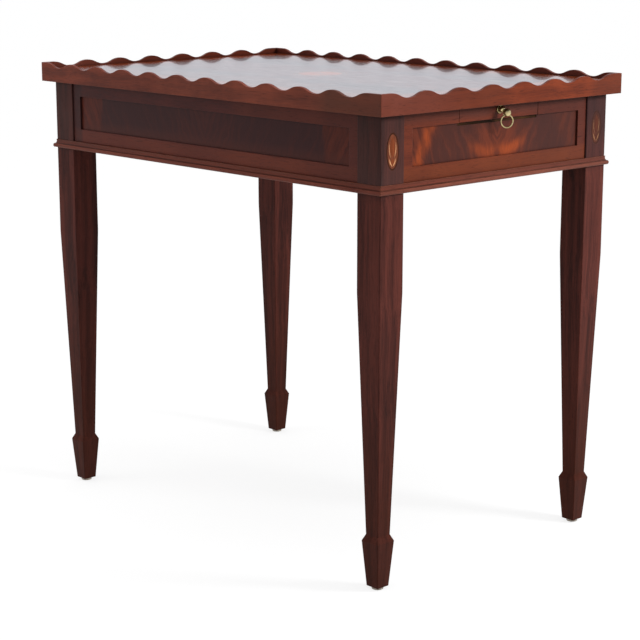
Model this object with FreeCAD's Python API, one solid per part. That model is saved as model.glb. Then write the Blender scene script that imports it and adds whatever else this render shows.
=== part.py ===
# Inlaid tea table: a tray top with a scalloped gallery, friezes with a pull-out slide at each end,
# and square tapered legs on spade feet. Millimetres, +Z up. The origin is on the floor under the
# middle of the table. X runs along its length, and the front long side faces -Y.
import FreeCAD, Part
import math
import os

V = FreeCAD.Vector

# Overall sizes
TABLE_LENGTH = 762.0
TABLE_WIDTH = 500.0
TABLE_HEIGHT = 691.0
TOP_OVERHANG = 15.0
CUT_OVERRUN = 2.0

# Gallery rails
RAIL_HEIGHT = 29.5
RAIL_THICKNESS = 6.0
RAIL_EASE = 0.8
SCALLOP_PITCH = 65.75
SCALLOP_DEPTH = 7.5
CORNER_FLAT = 18.0
FRONT_SCALLOP_SHIFT = -8.0
TRAY_DEPTH = 9.6

# Veneers of the tray
VENEER = 0.9
CROSSBAND_WIDTH = 44.5
STRING_WIDTH = 0.9
BAND_WIDTH = 3.7
LONG_JOINT_SHARES = (0.118, 0.297, 0.31, 0.55, 0.673, 0.75)
SHORT_JOINT_SHARES = (0.446, 0.46, 0.62)

# Patera in the middle of the tray
PATERA_DIAMETER = 82.0
PATERA_RING_WIDTH = 1.6
PATERA_GROUND_WIDTH = 4.6
PATERA_EYE_DIAMETER = 8.0
PETAL_COUNT = 16
PETAL_HOLLOW = 2.6

# Posts, legs and spade feet
POST_SIZE = 44.0
POST_ROUND = 1.2
LEG_STRAIGHT = 135.5
NECK_SIZE = 24.0
FOOT_SIZE = 32.4
TOE_SIZE = 22.2
FOOT_HEIGHT = 65.9
FOOT_BEVEL = 9.0

# Glides nailed under the feet
GLIDE_DIAMETER = 16.5
GLIDE_THICKNESS = 4.6
GLIDE_EASE = 1.0
GLIDE_NAIL_DIAMETER = 2.5
GLIDE_NAIL_LENGTH = 14.0
GLIDE_NAIL_FIT = 0.05

# Friezes: apron boards, recessed panels and border strips
FRIEZE_HEIGHT = 105.0
APRON_THICKNESS = 20.0
BORDER_SETBACK = 2.5
PANEL_SETBACK = 3.0
PANEL_VENEER = 0.9
BORDER_SIDE_WIDTH = 18.0
BORDER_BOTTOM_HEIGHT = 20.0
BORDER_TOP_HEIGHT = 21.0
TENON_THICKNESS = 9.0
TENON_SHOULDER = 12.0
TENON_GAP = 0.6
MORTISE_FIT = 0.1

# Base moulding, its profile in shares of projection and height
MOULD_HEIGHT = 12.5
MOULD_PROJECTION = 4.8
NOSE_SHARES = ((0.76, 0.0), (1.0, 0.23), (0.76, 0.46))
COVE_SHARES = ((0.42, 0.50), (0.24, 0.60), (0.18, 0.92))

# Oval inlays on the end faces of the posts
OVAL_HEIGHT = 50.0
OVAL_WIDTH = 24.0
OVAL_RISE = 56.5
OVAL_RIM = 2.4
OVAL_DEPTH = 0.9
LEAF_HEIGHT = 27.0
LEAF_WIDTH = 10.0
LEAF_LIFT = 5.5
BUD_HEIGHT = 9.0
BUD_WIDTH = 7.6
BUD_DROP = 14.5

# Corner blocks and screws
BLOCK_REACH = 48.0
BLOCK_HEIGHT = 36.0
BLOCK_GRIP_SHARE = 0.45
BLOCK_SCREW_BITE = 14.0
TOP_SCREW_BITE = 13.0
SCREW_DIAMETER = 4.0
SCREW_HEAD_DIAMETER = 8.0
SCREW_HEAD_DEPTH = 2.5
SCREW_FIT = 0.05

# Slides, runners and stop pins
SLIDE_WIDTH = 164.0
SLIDE_LIP = 2.0
SLIDE_THICKNESS = 15.0
SLIDE_PARTING = 120.0
SLIDE_TRAIL = 60.0
SLIDE_GAP = 0.9
SLIDE_UNDER_GAP = 4.0
SLIDE_EASE = 0.5
FRONT_CLEARANCE = 0.3
RUN_CLEARANCE = 0.4
RUNNER_LEDGE = 12.0
RUNNER_GUIDE = 15.0
LEDGE_THICKNESS = 10.0
RUNNER_SCREW_COUNT = 3
STOP_PIN_DIAMETER = 8.0
STOP_PIN_DROP = 8.0
STOP_PIN_SPACING = 110.0
STOP_PIN_FIT = 0.05

# Ring pulls
PULL_LIFT = 3.1
ROSE_DIAMETER = 12.0
ROSE_THICKNESS = 1.2
BOSS_DIAMETER = 9.4
BOSS_STAND = 4.9
STEM_DIAMETER = 5.0
PULL_REACH = 14.0
HEAD_DIAMETER = 11.4
HEAD_DROP = 4.1
EYE_WALL = 1.45
EYE_FIT = 0.35
EYE_MOUTH_FIT = 0.4
RING_DIAMETER = 20.0
RING_WIRE = 2.2
RING_TWIST = 25.0
SHANK_DIAMETER = 4.0
SHANK_LENGTH = 16.0
SHANK_FIT = 0.05

# Heights and places worked out from the sizes above
FRAME_LENGTH = TABLE_LENGTH - 2 * TOP_OVERHANG
FRAME_WIDTH = TABLE_WIDTH - 2 * TOP_OVERHANG
FRAME_TOP = TABLE_HEIGHT - RAIL_HEIGHT
FRIEZE_BOTTOM = FRAME_TOP - FRIEZE_HEIGHT
TRAY_TOP = TABLE_HEIGHT - TRAY_DEPTH
CORE_TOP = TRAY_TOP - VENEER
MOULD_TOP = FRIEZE_BOTTOM + MOULD_HEIGHT
PANEL_BOTTOM = MOULD_TOP + BORDER_BOTTOM_HEIGHT
PANEL_TOP = FRAME_TOP - BORDER_TOP_HEIGHT
APRON_SETBACK = BORDER_SETBACK + PANEL_SETBACK + PANEL_VENEER
APRON_INNER = APRON_SETBACK + APRON_THICKNESS
TENON_FAR = APRON_SETBACK + (APRON_THICKNESS + TENON_THICKNESS) / 2
TENON_LENGTH = POST_SIZE - TENON_FAR - TENON_GAP
FIELD_INSET = RAIL_THICKNESS + CROSSBAND_WIDTH + 2 * STRING_WIDTH + BAND_WIDTH
SLIDE_TOP = FRAME_TOP - RUN_CLEARANCE
SLIDE_BOTTOM = SLIDE_TOP - SLIDE_THICKNESS
LEDGE_TOP = SLIDE_BOTTOM - RUN_CLEARANCE
LEDGE_BOTTOM = LEDGE_TOP - LEDGE_THICKNESS
BOARD_HALF = SLIDE_WIDTH / 2 - SLIDE_LIP
GUIDE_FACE = BOARD_HALF + RUN_CLEARANCE
GUIDE_BACK = GUIDE_FACE + RUNNER_GUIDE
APRON_INNER_X = FRAME_LENGTH / 2 - APRON_INNER
APRON_INNER_Y = FRAME_WIDTH / 2 - APRON_INNER
POST_INNER_X = FRAME_LENGTH / 2 - POST_SIZE
POST_INNER_Y = FRAME_WIDTH / 2 - POST_SIZE
POST_PROUD = POST_SIZE - APRON_INNER
BLOCK_SCREW_GRIP = BLOCK_GRIP_SHARE * BLOCK_REACH / 2
TOP_SCREW_INSET = (BLOCK_REACH - POST_PROUD) / 4
FRONT_FACE_X = FRAME_LENGTH / 2 - BORDER_SETBACK
FRONT_BACK_X = FRAME_LENGTH / 2 - APRON_SETBACK + FRONT_CLEARANCE
SLIDE_INNER_X = SLIDE_PARTING / 2
STOP_PIN_X = SLIDE_INNER_X + SLIDE_TRAIL
SLIDE_SLOT = SLIDE_WIDTH / 2 + SLIDE_GAP
FRONT_BOTTOM = PANEL_TOP + RUN_CLEARANCE
PULL_HEIGHT = (FRONT_BOTTOM + SLIDE_TOP) / 2 + PULL_LIFT
RING_RADIUS = (RING_DIAMETER - RING_WIRE) / 2
HINGE_X = FRONT_FACE_X + PULL_REACH
HEAD_HEIGHT = PULL_HEIGHT - HEAD_DROP
EYE_THROAT = RING_WIRE / 2 + EYE_FIT
EYE_FLARE = RING_RADIUS - RING_WIRE / 2 - EYE_MOUTH_FIT
HINGE_HEIGHT = HEAD_HEIGHT - HEAD_DIAMETER / 2 + EYE_WALL + EYE_THROAT

# Each side is drawn facing -Y with its run along X, then turned into place about Z.
SIDES = (
    ("front", 0, TABLE_LENGTH, TABLE_WIDTH),
    ("right", 90, TABLE_WIDTH, TABLE_LENGTH),
    ("back", 180, TABLE_LENGTH, TABLE_WIDTH),
    ("left", 270, TABLE_WIDTH, TABLE_LENGTH),
)
CORNERS = (
    ("front_left", -1, -1),
    ("front_right", 1, -1),
    ("back_left", -1, 1),
    ("back_right", 1, 1),
)
ENDS = (("right", 0), ("left", 180))


def box(x0, x1, y0, y1, z0, z1):
    return Part.makeBox(x1 - x0, y1 - y0, z1 - z0, V(x0, y0, z0))


def prism(points, z0, z1):
    corners = [V(x, y, z0) for x, y in points]
    face = Part.Face(Part.makePolygon(corners + corners[:1]))
    return face.extrude(V(0, 0, z1 - z0))


def turned(shape, angle):
    copy = shape.copy()
    copy.rotate(V(0, 0, 0), V(0, 0, 1), angle)
    return copy


def placed(shape, point, direction):
    copy = shape.copy()
    copy.Placement = FreeCAD.Placement(point, FreeCAD.Rotation(V(0, 0, 1), direction))
    return copy


def arc(points):
    return Part.Arc(*points).toShape()


def mitred_strip(run, depth, inset, width, z0, z1):
    """A strip on the -Y edge of a run by depth rectangle, set in by inset, with mitred ends."""
    x_out = run / 2 - inset
    y_out = inset - depth / 2
    points = (
        (-x_out, y_out),
        (x_out, y_out),
        (x_out - width, y_out + width),
        (width - x_out, y_out + width),
    )
    return prism(points, z0, z1)


def scallop_edges(run, y, shift):
    """The upper edge of a rail from its +X end to its -X end: equal arcs, alternately up and down,
    moved along the rail by shift."""
    count = math.floor((run - 2 * CORNER_FLAT) / SCALLOP_PITCH)
    quarter = SCALLOP_PITCH / 4
    rise = SCALLOP_DEPTH / 2
    radius = (quarter**2 + rise**2) / (2 * rise)
    middle = TABLE_HEIGHT - rise
    sway = math.asin(quarter / radius) / 2
    half_x = radius * math.sin(sway)
    half_z = TABLE_HEIGHT - radius * (1 - math.cos(sway))
    start = shift + count * SCALLOP_PITCH / 2
    stop = shift - count * SCALLOP_PITCH / 2

    def point(x, z):
        return V(x, y, z)

    edges = [Part.makeLine(point(run / 2, TABLE_HEIGHT), point(start, TABLE_HEIGHT))]
    edges.append(
        arc((point(start, TABLE_HEIGHT), point(start - half_x, half_z), point(start - quarter, middle)))
    )
    for i in range(2 * count - 1):
        begin = start - quarter - i * 2 * quarter
        turn = middle + (rise if i % 2 else -rise)
        edges.append(
            arc((point(begin, middle), point(begin - quarter, turn), point(begin - 2 * quarter, middle)))
        )
    edges.append(
        arc((point(stop + quarter, middle), point(stop + half_x, half_z), point(stop, TABLE_HEIGHT)))
    )
    edges.append(Part.makeLine(point(stop, TABLE_HEIGHT), point(-run / 2, TABLE_HEIGHT)))
    return edges


def gallery_rail(run, depth, shift):
    """A mitred rail with a scalloped upper edge, eased on both sides."""
    y = -depth / 2
    edges = scallop_edges(run, y, shift)
    low_left = V(-run / 2, y, FRAME_TOP)
    low_right = V(run / 2, y, FRAME_TOP)
    edges.append(Part.makeLine(V(-run / 2, y, TABLE_HEIGHT), low_left))
    edges.append(Part.makeLine(low_left, low_right))
    edges.append(Part.makeLine(low_right, V(run / 2, y, TABLE_HEIGHT)))
    face = Part.Face(Part.Wire(edges))
    rail = face.extrude(V(0, RAIL_THICKNESS, 0))
    lowest = TABLE_HEIGHT - SCALLOP_DEPTH - RAIL_EASE
    upper = [e for e in rail.Edges if e.BoundBox.ZMin > lowest and e.BoundBox.YLength < RAIL_EASE]
    rail = rail.makeFillet(RAIL_EASE, upper)
    mitres = mitred_strip(run, depth, 0, RAIL_THICKNESS, FRAME_TOP, TABLE_HEIGHT)
    return rail.common(mitres)


def crossband(run, depth, shares):
    """The leaves of one side's crossband, cut apart at the given shares of its outer edge."""
    strip = mitred_strip(run, depth, RAIL_THICKNESS, CROSSBAND_WIDTH, CORE_TOP, TRAY_TOP)
    length = run - 2 * RAIL_THICKNESS
    joints = [share * length - length / 2 for share in (0, *shares, 1)]
    y = RAIL_THICKNESS - depth / 2
    leaves = []
    for x0, x1 in zip(joints, joints[1:]):
        leaves.append(strip.common(box(x0, x1, y, y + CROSSBAND_WIDTH, CORE_TOP, TRAY_TOP)))
    return leaves


def field_leaf(sx, sy):
    """A quarter of the field, with its corner cut away for the patera."""
    x = sx * (TABLE_LENGTH / 2 - FIELD_INSET)
    y = sy * (TABLE_WIDTH / 2 - FIELD_INSET)
    leaf = box(min(0, x), max(0, x), min(0, y), max(0, y), CORE_TOP, TRAY_TOP)
    return leaf.cut(disc(PATERA_DIAMETER / 2))


def disc(radius):
    return Part.makeCylinder(radius, VENEER, V(0, 0, CORE_TOP))


def petal(index):
    """One wedge of the patera with a hollow outer end."""
    step = 2 * math.pi / PETAL_COUNT
    tip = PATERA_DIAMETER / 2 - PATERA_RING_WIDTH - PATERA_GROUND_WIDTH
    eye = PATERA_EYE_DIAMETER / 2

    def point(radius, turn):
        angle = (index + turn) * step
        return V(radius * math.cos(angle), radius * math.sin(angle), CORE_TOP)

    edges = (
        arc((point(eye, 0), point(eye, 1 / 2), point(eye, 1))),
        Part.makeLine(point(eye, 1), point(tip, 1)),
        arc((point(tip, 1), point(tip - PETAL_HOLLOW, 1 / 2), point(tip, 0))),
        Part.makeLine(point(tip, 0), point(eye, 0)),
    )
    return Part.Face(Part.Wire(edges)).extrude(V(0, 0, VENEER))


def rounded_square(x, y, z, size):
    """A level square wire with rounded corners, centred on x and y."""
    half = size / 2
    flat = half - POST_ROUND
    bulge = flat + POST_ROUND * math.sqrt(1 / 2)
    edges = []
    for ux, uy in ((1, 0), (0, 1), (-1, 0), (0, -1)):
        # The outward direction of a side is (ux, uy), and the wire runs along (-uy, ux).
        begin = V(x + ux * half + uy * flat, y + uy * half - ux * flat, z)
        end = V(x + ux * half - uy * flat, y + uy * half + ux * flat, z)
        mid = V(x + (ux - uy) * bulge, y + (uy + ux) * bulge, z)
        after = V(x + ux * flat - uy * half, y + uy * flat + ux * half, z)
        edges.append(Part.makeLine(begin, end))
        edges.append(arc((end, mid, after)))
    return Part.Wire(edges)


def leg_axis(sx, sy):
    return sx * (FRAME_LENGTH - POST_SIZE) / 2, sy * (FRAME_WIDTH - POST_SIZE) / 2


def leg(sx, sy, mortises):
    """A post that runs down as a straight, then tapered leg and ends in a spade foot."""
    x, y = leg_axis(sx, sy)
    widest = GLIDE_THICKNESS + FOOT_HEIGHT
    levels = (
        (GLIDE_THICKNESS, TOE_SIZE),
        (widest, FOOT_SIZE),
        (widest + FOOT_BEVEL, NECK_SIZE),
        (FRIEZE_BOTTOM - LEG_STRAIGHT, POST_SIZE),
        (FRAME_TOP, POST_SIZE),
    )
    wires = [rounded_square(x, y, z, size) for z, size in levels]
    solid = Part.makeLoft(wires, True, True)
    nail = GLIDE_NAIL_DIAMETER / 2 + GLIDE_NAIL_FIT
    nail_hole = Part.makeCylinder(nail, GLIDE_THICKNESS + GLIDE_NAIL_LENGTH, V(x, y, 0))
    return solid.cut([mortises, oval(sx, sy, OVAL_HEIGHT, OVAL_WIDTH, 0), nail_hole])


def glide(sx, sy):
    """A round glide with its nail driven up into the foot."""
    x, y = leg_axis(sx, sy)
    plate = Part.makeCylinder(GLIDE_DIAMETER / 2, GLIDE_THICKNESS, V(x, y, 0))
    rim = [e for e in plate.Edges if e.BoundBox.ZMax < GLIDE_EASE]
    nail = Part.makeCylinder(
        GLIDE_NAIL_DIAMETER / 2, GLIDE_THICKNESS + GLIDE_NAIL_LENGTH - GLIDE_NAIL_FIT, V(x, y, 0)
    )
    return plate.makeFillet(GLIDE_EASE, rim).fuse(nail).removeSplitter()


def oval(sx, sy, height, width, lift):
    """An upright oval, sunk into the end face of a post by the inlay's depth."""
    y = leg_axis(sx, sy)[1]
    centre = V(sx * FRAME_LENGTH / 2, y, FRIEZE_BOTTOM + OVAL_RISE + lift)
    curve = Part.Ellipse(centre + V(0, 0, height / 2), centre + V(0, width / 2, 0), centre)
    return Part.Face(Part.Wire(curve.toShape())).extrude(V(-sx * OVAL_DEPTH, 0, 0))


def oval_leaf(sx, sy):
    """A pointed leaf of two arcs in the upper part of an oval."""
    y = leg_axis(sx, sy)[1]
    centre = V(sx * FRAME_LENGTH / 2, y, FRIEZE_BOTTOM + OVAL_RISE + LEAF_LIFT)
    top = centre + V(0, 0, LEAF_HEIGHT / 2)
    bottom = centre - V(0, 0, LEAF_HEIGHT / 2)
    side = V(0, LEAF_WIDTH / 2, 0)
    edges = (arc((top, centre + side, bottom)), arc((bottom, centre - side, top)))
    return Part.Face(Part.Wire(edges)).extrude(V(-sx * OVAL_DEPTH, 0, 0))


def tenons(run, depth, fit):
    """The two tenons of one apron, grown by fit where they shape the mortises."""
    y = TENON_FAR - depth / 2 - TENON_THICKNESS
    shoulder = run / 2 - POST_SIZE
    end = shoulder + TENON_LENGTH + fit
    z0 = FRIEZE_BOTTOM + TENON_SHOULDER - fit
    z1 = FRAME_TOP - TENON_SHOULDER + fit
    far = y + TENON_THICKNESS + fit
    return [box(-end, -shoulder, y - fit, far, z0, z1), box(shoulder, end, y - fit, far, z0, z1)]


def apron(run, depth, notched):
    """A tenoned board behind the frieze. The end boards are notched for the slide."""
    half = run / 2 - POST_SIZE
    y = APRON_SETBACK - depth / 2
    board = box(-half, half, y, y + APRON_THICKNESS, FRIEZE_BOTTOM, FRAME_TOP)
    board = board.fuse(tenons(run, depth, 0)).removeSplitter()
    if not notched:
        return board
    inner = y + APRON_THICKNESS + CUT_OVERRUN
    notch = box(-GUIDE_FACE, GUIDE_FACE, y - CUT_OVERRUN, inner, LEDGE_TOP, FRAME_TOP + CUT_OVERRUN)
    return board.cut(notch)


def frieze_panel(run, depth, slotted):
    """Two book-matched leaves of veneer on the apron, inside the border strips. Those of an end are
    cut back under the slide."""
    half = run / 2 - POST_SIZE - BORDER_SIDE_WIDTH
    y = APRON_SETBACK - depth / 2
    leaves = [
        box(-half, 0, y - PANEL_VENEER, y, PANEL_BOTTOM, PANEL_TOP),
        box(0, half, y - PANEL_VENEER, y, PANEL_BOTTOM, PANEL_TOP),
    ]
    if not slotted:
        return leaves
    low = PANEL_TOP - SLIDE_UNDER_GAP
    outer = y - PANEL_VENEER - CUT_OVERRUN
    notch = box(-SLIDE_SLOT, SLIDE_SLOT, outer, y + CUT_OVERRUN, low, PANEL_TOP + CUT_OVERRUN)
    return [leaf.cut(notch) for leaf in leaves]


def frieze_border(run, depth, slotted):
    """Strips round the panel. The top strip of an end is in two lengths beside the slide."""
    half = run / 2 - POST_SIZE
    inner = half - BORDER_SIDE_WIDTH
    y0 = BORDER_SETBACK - depth / 2
    y1 = APRON_SETBACK - depth / 2
    strips = [
        box(-half, half, y0, y1, MOULD_TOP, PANEL_BOTTOM),
        box(-half, -inner, y0, y1, PANEL_BOTTOM, PANEL_TOP),
        box(inner, half, y0, y1, PANEL_BOTTOM, PANEL_TOP),
    ]
    if slotted:
        strips.append(box(-half, -SLIDE_SLOT, y0, y1, PANEL_TOP, FRAME_TOP))
        strips.append(box(SLIDE_SLOT, half, y0, y1, PANEL_TOP, FRAME_TOP))
    else:
        strips.append(box(-half, half, y0, y1, PANEL_TOP, FRAME_TOP))
    return strips


def base_moulding(run, depth):
    """A moulding with a round nose under a cove, mitred at the posts, with a back that fills the recess."""
    face = -depth / 2
    end = run / 2 + MOULD_PROJECTION

    def point(out_share, up_share):
        return V(-end, face - out_share * MOULD_PROJECTION, FRIEZE_BOTTOM + up_share * MOULD_HEIGHT)

    nose = [point(*share) for share in NOSE_SHARES]
    cove = [point(*share) for share in COVE_SHARES]
    crown = point(COVE_SHARES[-1][0], 1)
    edges = (
        Part.makeLine(point(0, 0), nose[0]),
        arc(nose),
        Part.makeLine(nose[-1], cove[0]),
        arc(cove),
        Part.makeLine(cove[-1], crown),
        Part.makeLine(crown, point(0, 1)),
        Part.makeLine(point(0, 1), point(0, 0)),
    )
    strip = Part.Face(Part.Wire(edges)).extrude(V(2 * end, 0, 0))
    mitres = mitred_strip(run, depth, -MOULD_PROJECTION, MOULD_PROJECTION, FRIEZE_BOTTOM, MOULD_TOP)
    back_half = run / 2 - POST_SIZE
    back = box(-back_half, back_half, face, face + APRON_SETBACK, FRIEZE_BOTTOM, MOULD_TOP)
    return strip.common(mitres).fuse(back).removeSplitter()


def screw(length, fit, sink):
    """A countersunk screw along +Z from its head. As a hole it is grown by fit, and sunk back by sink."""
    head = SCREW_HEAD_DIAMETER / 2 + fit
    shank = SCREW_DIAMETER / 2 + fit
    body = Part.makeCone(head, shank, SCREW_HEAD_DEPTH)
    body = body.fuse(Part.makeCylinder(shank, length + fit))
    if sink > 0:
        body = body.fuse(Part.makeCylinder(head, sink, V(0, 0, -sink)))
    return body.removeSplitter()


def corner_block(sx, sy):
    """A three-sided block in a corner of the frame, fitted round the inside of the post."""
    points = (
        (sx * APRON_INNER_X, sy * POST_INNER_Y),
        (sx * APRON_INNER_X, sy * (POST_INNER_Y - BLOCK_REACH)),
        (sx * (POST_INNER_X - BLOCK_REACH), sy * APRON_INNER_Y),
        (sx * POST_INNER_X, sy * APRON_INNER_Y),
        (sx * POST_INNER_X, sy * POST_INNER_Y),
    )
    return prism(points, FRAME_TOP - BLOCK_HEIGHT, FRAME_TOP)


def block_screw_spots(sx, sy):
    """Where a block's two screws sit, and which way they point: one per apron."""
    z = FRAME_TOP - BLOCK_HEIGHT / 2
    across_x = sx * (POST_INNER_X - BLOCK_REACH / 2)
    across_y = sy * (POST_INNER_Y - BLOCK_REACH / 2)
    return (
        (V(across_x, sy * (APRON_INNER_Y - BLOCK_SCREW_GRIP), z), V(0, sy, 0)),
        (V(sx * (APRON_INNER_X - BLOCK_SCREW_GRIP), across_y, z), V(sx, 0, 0)),
    )


def top_screw_spot(sx, sy):
    x = sx * (POST_INNER_X - TOP_SCREW_INSET)
    y = sy * (POST_INNER_Y - TOP_SCREW_INSET)
    return V(x, y, FRAME_TOP - BLOCK_HEIGHT), V(0, 0, 1)


def runner_screw_spots(sy):
    """Screws up through the guide of a runner, spread evenly along it."""
    pitch = 2 * APRON_INNER_X / RUNNER_SCREW_COUNT
    y = sy * (GUIDE_FACE + RUNNER_GUIDE / 2)
    spots = []
    for i in range(RUNNER_SCREW_COUNT):
        x = (i + 1 / 2) * pitch - APRON_INNER_X
        spots.append((V(x, y, LEDGE_BOTTOM), V(0, 0, 1)))
    return spots


def runner(sy):
    """A runner from apron to apron: a ledge under the slides and a guide beside them."""
    outline = (
        (GUIDE_FACE - RUNNER_LEDGE, LEDGE_BOTTOM),
        (GUIDE_BACK, LEDGE_BOTTOM),
        (GUIDE_BACK, FRAME_TOP),
        (GUIDE_FACE, FRAME_TOP),
        (GUIDE_FACE, LEDGE_TOP),
        (GUIDE_FACE - RUNNER_LEDGE, LEDGE_TOP),
    )
    corners = [V(-APRON_INNER_X, sy * y, z) for y, z in outline]
    face = Part.Face(Part.makePolygon(corners + corners[:1]))
    return face.extrude(V(2 * APRON_INNER_X, 0, 0))


def pins(fit):
    """The two stop pins of the right-hand slide, grown by fit where they shape its holes."""
    height = SLIDE_THICKNESS + STOP_PIN_DROP
    z = SLIDE_TOP - height
    radius = STOP_PIN_DIAMETER / 2 + fit
    return [
        Part.makeCylinder(radius, height, V(STOP_PIN_X, side * STOP_PIN_SPACING / 2, z)) for side in (-1, 1)
    ]


def pull_shank(fit):
    length = SHANK_LENGTH + fit
    base = V(FRONT_FACE_X - length, 0, PULL_HEIGHT)
    return Part.makeCylinder(SHANK_DIAMETER / 2 + fit, length, base, V(1, 0, 0))


def slide_board():
    """The right-hand slide's board, bored for its stop pins and for the shank of its pull."""
    board = box(SLIDE_INNER_X, FRONT_BACK_X, -BOARD_HALF, BOARD_HALF, SLIDE_BOTTOM, SLIDE_TOP)
    return board.cut(pins(STOP_PIN_FIT) + [pull_shank(SHANK_FIT)])


def slide_front():
    """The strip on the slide's end, level with the border strips and lapping the apron below the notch."""
    half = SLIDE_WIDTH / 2
    strip = box(FRONT_BACK_X, FRONT_FACE_X, -half, half, FRONT_BOTTOM, SLIDE_TOP)
    outer = [e for e in strip.Edges if e.BoundBox.XMin > FRONT_FACE_X - SLIDE_EASE]
    return strip.makeFillet(SLIDE_EASE, outer).cut(pull_shank(SHANK_FIT))


def eye_bore():
    """The hole through the head, bell-mouthed at both ends so that the ring can swing in it."""
    twist = math.radians(RING_TWIST)
    along = V(math.sin(twist), math.cos(twist), 0)
    middle = V(HINGE_X, 0, HINGE_HEIGHT)
    mouth = EYE_THROAT + EYE_FLARE
    reach = (HEAD_DIAMETER + RING_WIRE) / 2
    plug = Part.makeCylinder(mouth, 2 * reach, middle - along * reach, along)
    return plug.cut(Part.makeTorus(mouth, EYE_FLARE, middle, along))


def pull_post():
    """A rose, a round boss and a ball head, bored for the ring."""
    out = V(1, 0, 0)
    face = V(FRONT_FACE_X, 0, PULL_HEIGHT)
    boss_centre = face + V(BOSS_STAND, 0, 0)
    head_centre = V(HINGE_X, 0, HEAD_HEIGHT)
    rose = Part.makeCylinder(ROSE_DIAMETER / 2, ROSE_THICKNESS, face, out)
    boss = Part.makeSphere(BOSS_DIAMETER / 2, boss_centre)
    lean = head_centre - boss_centre
    stem = Part.makeCylinder(STEM_DIAMETER / 2, lean.Length, boss_centre, lean)
    head = Part.makeSphere(HEAD_DIAMETER / 2, head_centre)
    return rose.fuse([boss, stem, head, pull_shank(0)]).removeSplitter().cut(eye_bore())


def pull_ring():
    """The loose ring, hanging in the head and turned a little out of the plane of the front."""
    centre = V(HINGE_X, 0, HINGE_HEIGHT - RING_RADIUS)
    twist = math.radians(RING_TWIST)
    return Part.makeTorus(RING_RADIUS, RING_WIRE / 2, centre, V(math.cos(twist), -math.sin(twist), 0))


def top_nodes(holes):
    """The core board, the veneers and inlays on it, and the gallery round it."""
    core_x = TABLE_LENGTH / 2 - RAIL_THICKNESS
    core_y = TABLE_WIDTH / 2 - RAIL_THICKNESS
    core = box(-core_x, core_x, -core_y, core_y, FRAME_TOP, CORE_TOP)
    nodes = {"top_core": [core.cut(holes)]}
    for name, sx, sy in CORNERS:
        nodes["field_leaf_" + name] = [field_leaf(sx, sy)]
    inner_string = RAIL_THICKNESS + CROSSBAND_WIDTH + STRING_WIDTH + BAND_WIDTH
    lines = (
        ("field_string_outer", RAIL_THICKNESS + CROSSBAND_WIDTH, STRING_WIDTH),
        ("field_band", RAIL_THICKNESS + CROSSBAND_WIDTH + STRING_WIDTH, BAND_WIDTH),
        ("field_string_inner", inner_string, STRING_WIDTH),
    )
    for name, inset, width in lines:
        nodes[name] = [
            turned(mitred_strip(run, depth, inset, width, CORE_TOP, TRAY_TOP), angle)
            for side, angle, run, depth in SIDES
        ]
    for side, angle, run, depth in SIDES:
        shares = LONG_JOINT_SHARES if run > depth else SHORT_JOINT_SHARES
        if side in ("back", "left"):
            shares = tuple(1 - share for share in reversed(shares))
        nodes["crossband_" + side] = [turned(leaf, angle) for leaf in crossband(run, depth, shares)]
        shift = FRONT_SCALLOP_SHIFT if side == "front" else 0
        nodes["gallery_" + side] = [turned(gallery_rail(run, depth, shift), angle)]
    petals = [petal(i) for i in range(PETAL_COUNT)]
    eye = disc(PATERA_EYE_DIAMETER / 2)
    ring_inner = disc(PATERA_DIAMETER / 2 - PATERA_RING_WIDTH)
    nodes["patera_ring"] = [disc(PATERA_DIAMETER / 2).cut(ring_inner)]
    nodes["patera_ground"] = [ring_inner.cut(petals + [eye])]
    nodes["patera_petals"] = petals
    nodes["patera_eye"] = [eye]
    return nodes


def frame_nodes(apron_holes):
    """Legs, aprons, friezes, moulding, inlays and glides."""
    nodes = {}
    mortises = []
    for side, angle, run, depth in SIDES:
        frame_run = run - 2 * TOP_OVERHANG
        frame_depth = depth - 2 * TOP_OVERHANG
        is_end = run < depth
        mortises += [turned(tenon, angle) for tenon in tenons(frame_run, frame_depth, MORTISE_FIT)]
        board = turned(apron(frame_run, frame_depth, is_end), angle)
        nodes["apron_" + side] = [board.cut(apron_holes)]
        leaves = frieze_panel(frame_run, frame_depth, is_end)
        nodes["frieze_panel_" + side] = [turned(leaf, angle) for leaf in leaves]
        strips = frieze_border(frame_run, frame_depth, is_end)
        nodes["frieze_border_" + side] = [turned(strip, angle) for strip in strips]
        nodes["base_moulding_" + side] = [turned(base_moulding(frame_run, frame_depth), angle)]
    cutter = Part.makeCompound(mortises)
    rims = []
    grounds = []
    motifs = []
    for name, sx, sy in CORNERS:
        nodes["leg_" + name] = [leg(sx, sy, cutter)]
        inner = oval(sx, sy, OVAL_HEIGHT - 2 * OVAL_RIM, OVAL_WIDTH - 2 * OVAL_RIM, 0)
        motif = [oval_leaf(sx, sy), oval(sx, sy, BUD_HEIGHT, BUD_WIDTH, -BUD_DROP)]
        rims.append(oval(sx, sy, OVAL_HEIGHT, OVAL_WIDTH, 0).cut(inner))
        grounds.append(inner.cut(motif))
        motifs += motif
    nodes["oval_rims"] = rims
    nodes["oval_grounds"] = grounds
    nodes["oval_motifs"] = motifs
    nodes["foot_glides"] = [glide(sx, sy) for name, sx, sy in CORNERS]
    return nodes


def slide_nodes():
    """Each end's slide with its pull, the right-hand one turned half way round for the left."""
    nodes = {}
    for end, angle in ENDS:
        nodes["slide_board_" + end] = [turned(slide_board(), angle)]
        nodes["slide_front_" + end] = [turned(slide_front(), angle)]
        nodes["slide_stop_pins_" + end] = [turned(pin, angle) for pin in pins(0)]
        nodes["pull_post_" + end] = [turned(pull_post(), angle)]
        nodes["pull_ring_" + end] = [turned(pull_ring(), angle)]
    return nodes


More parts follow.
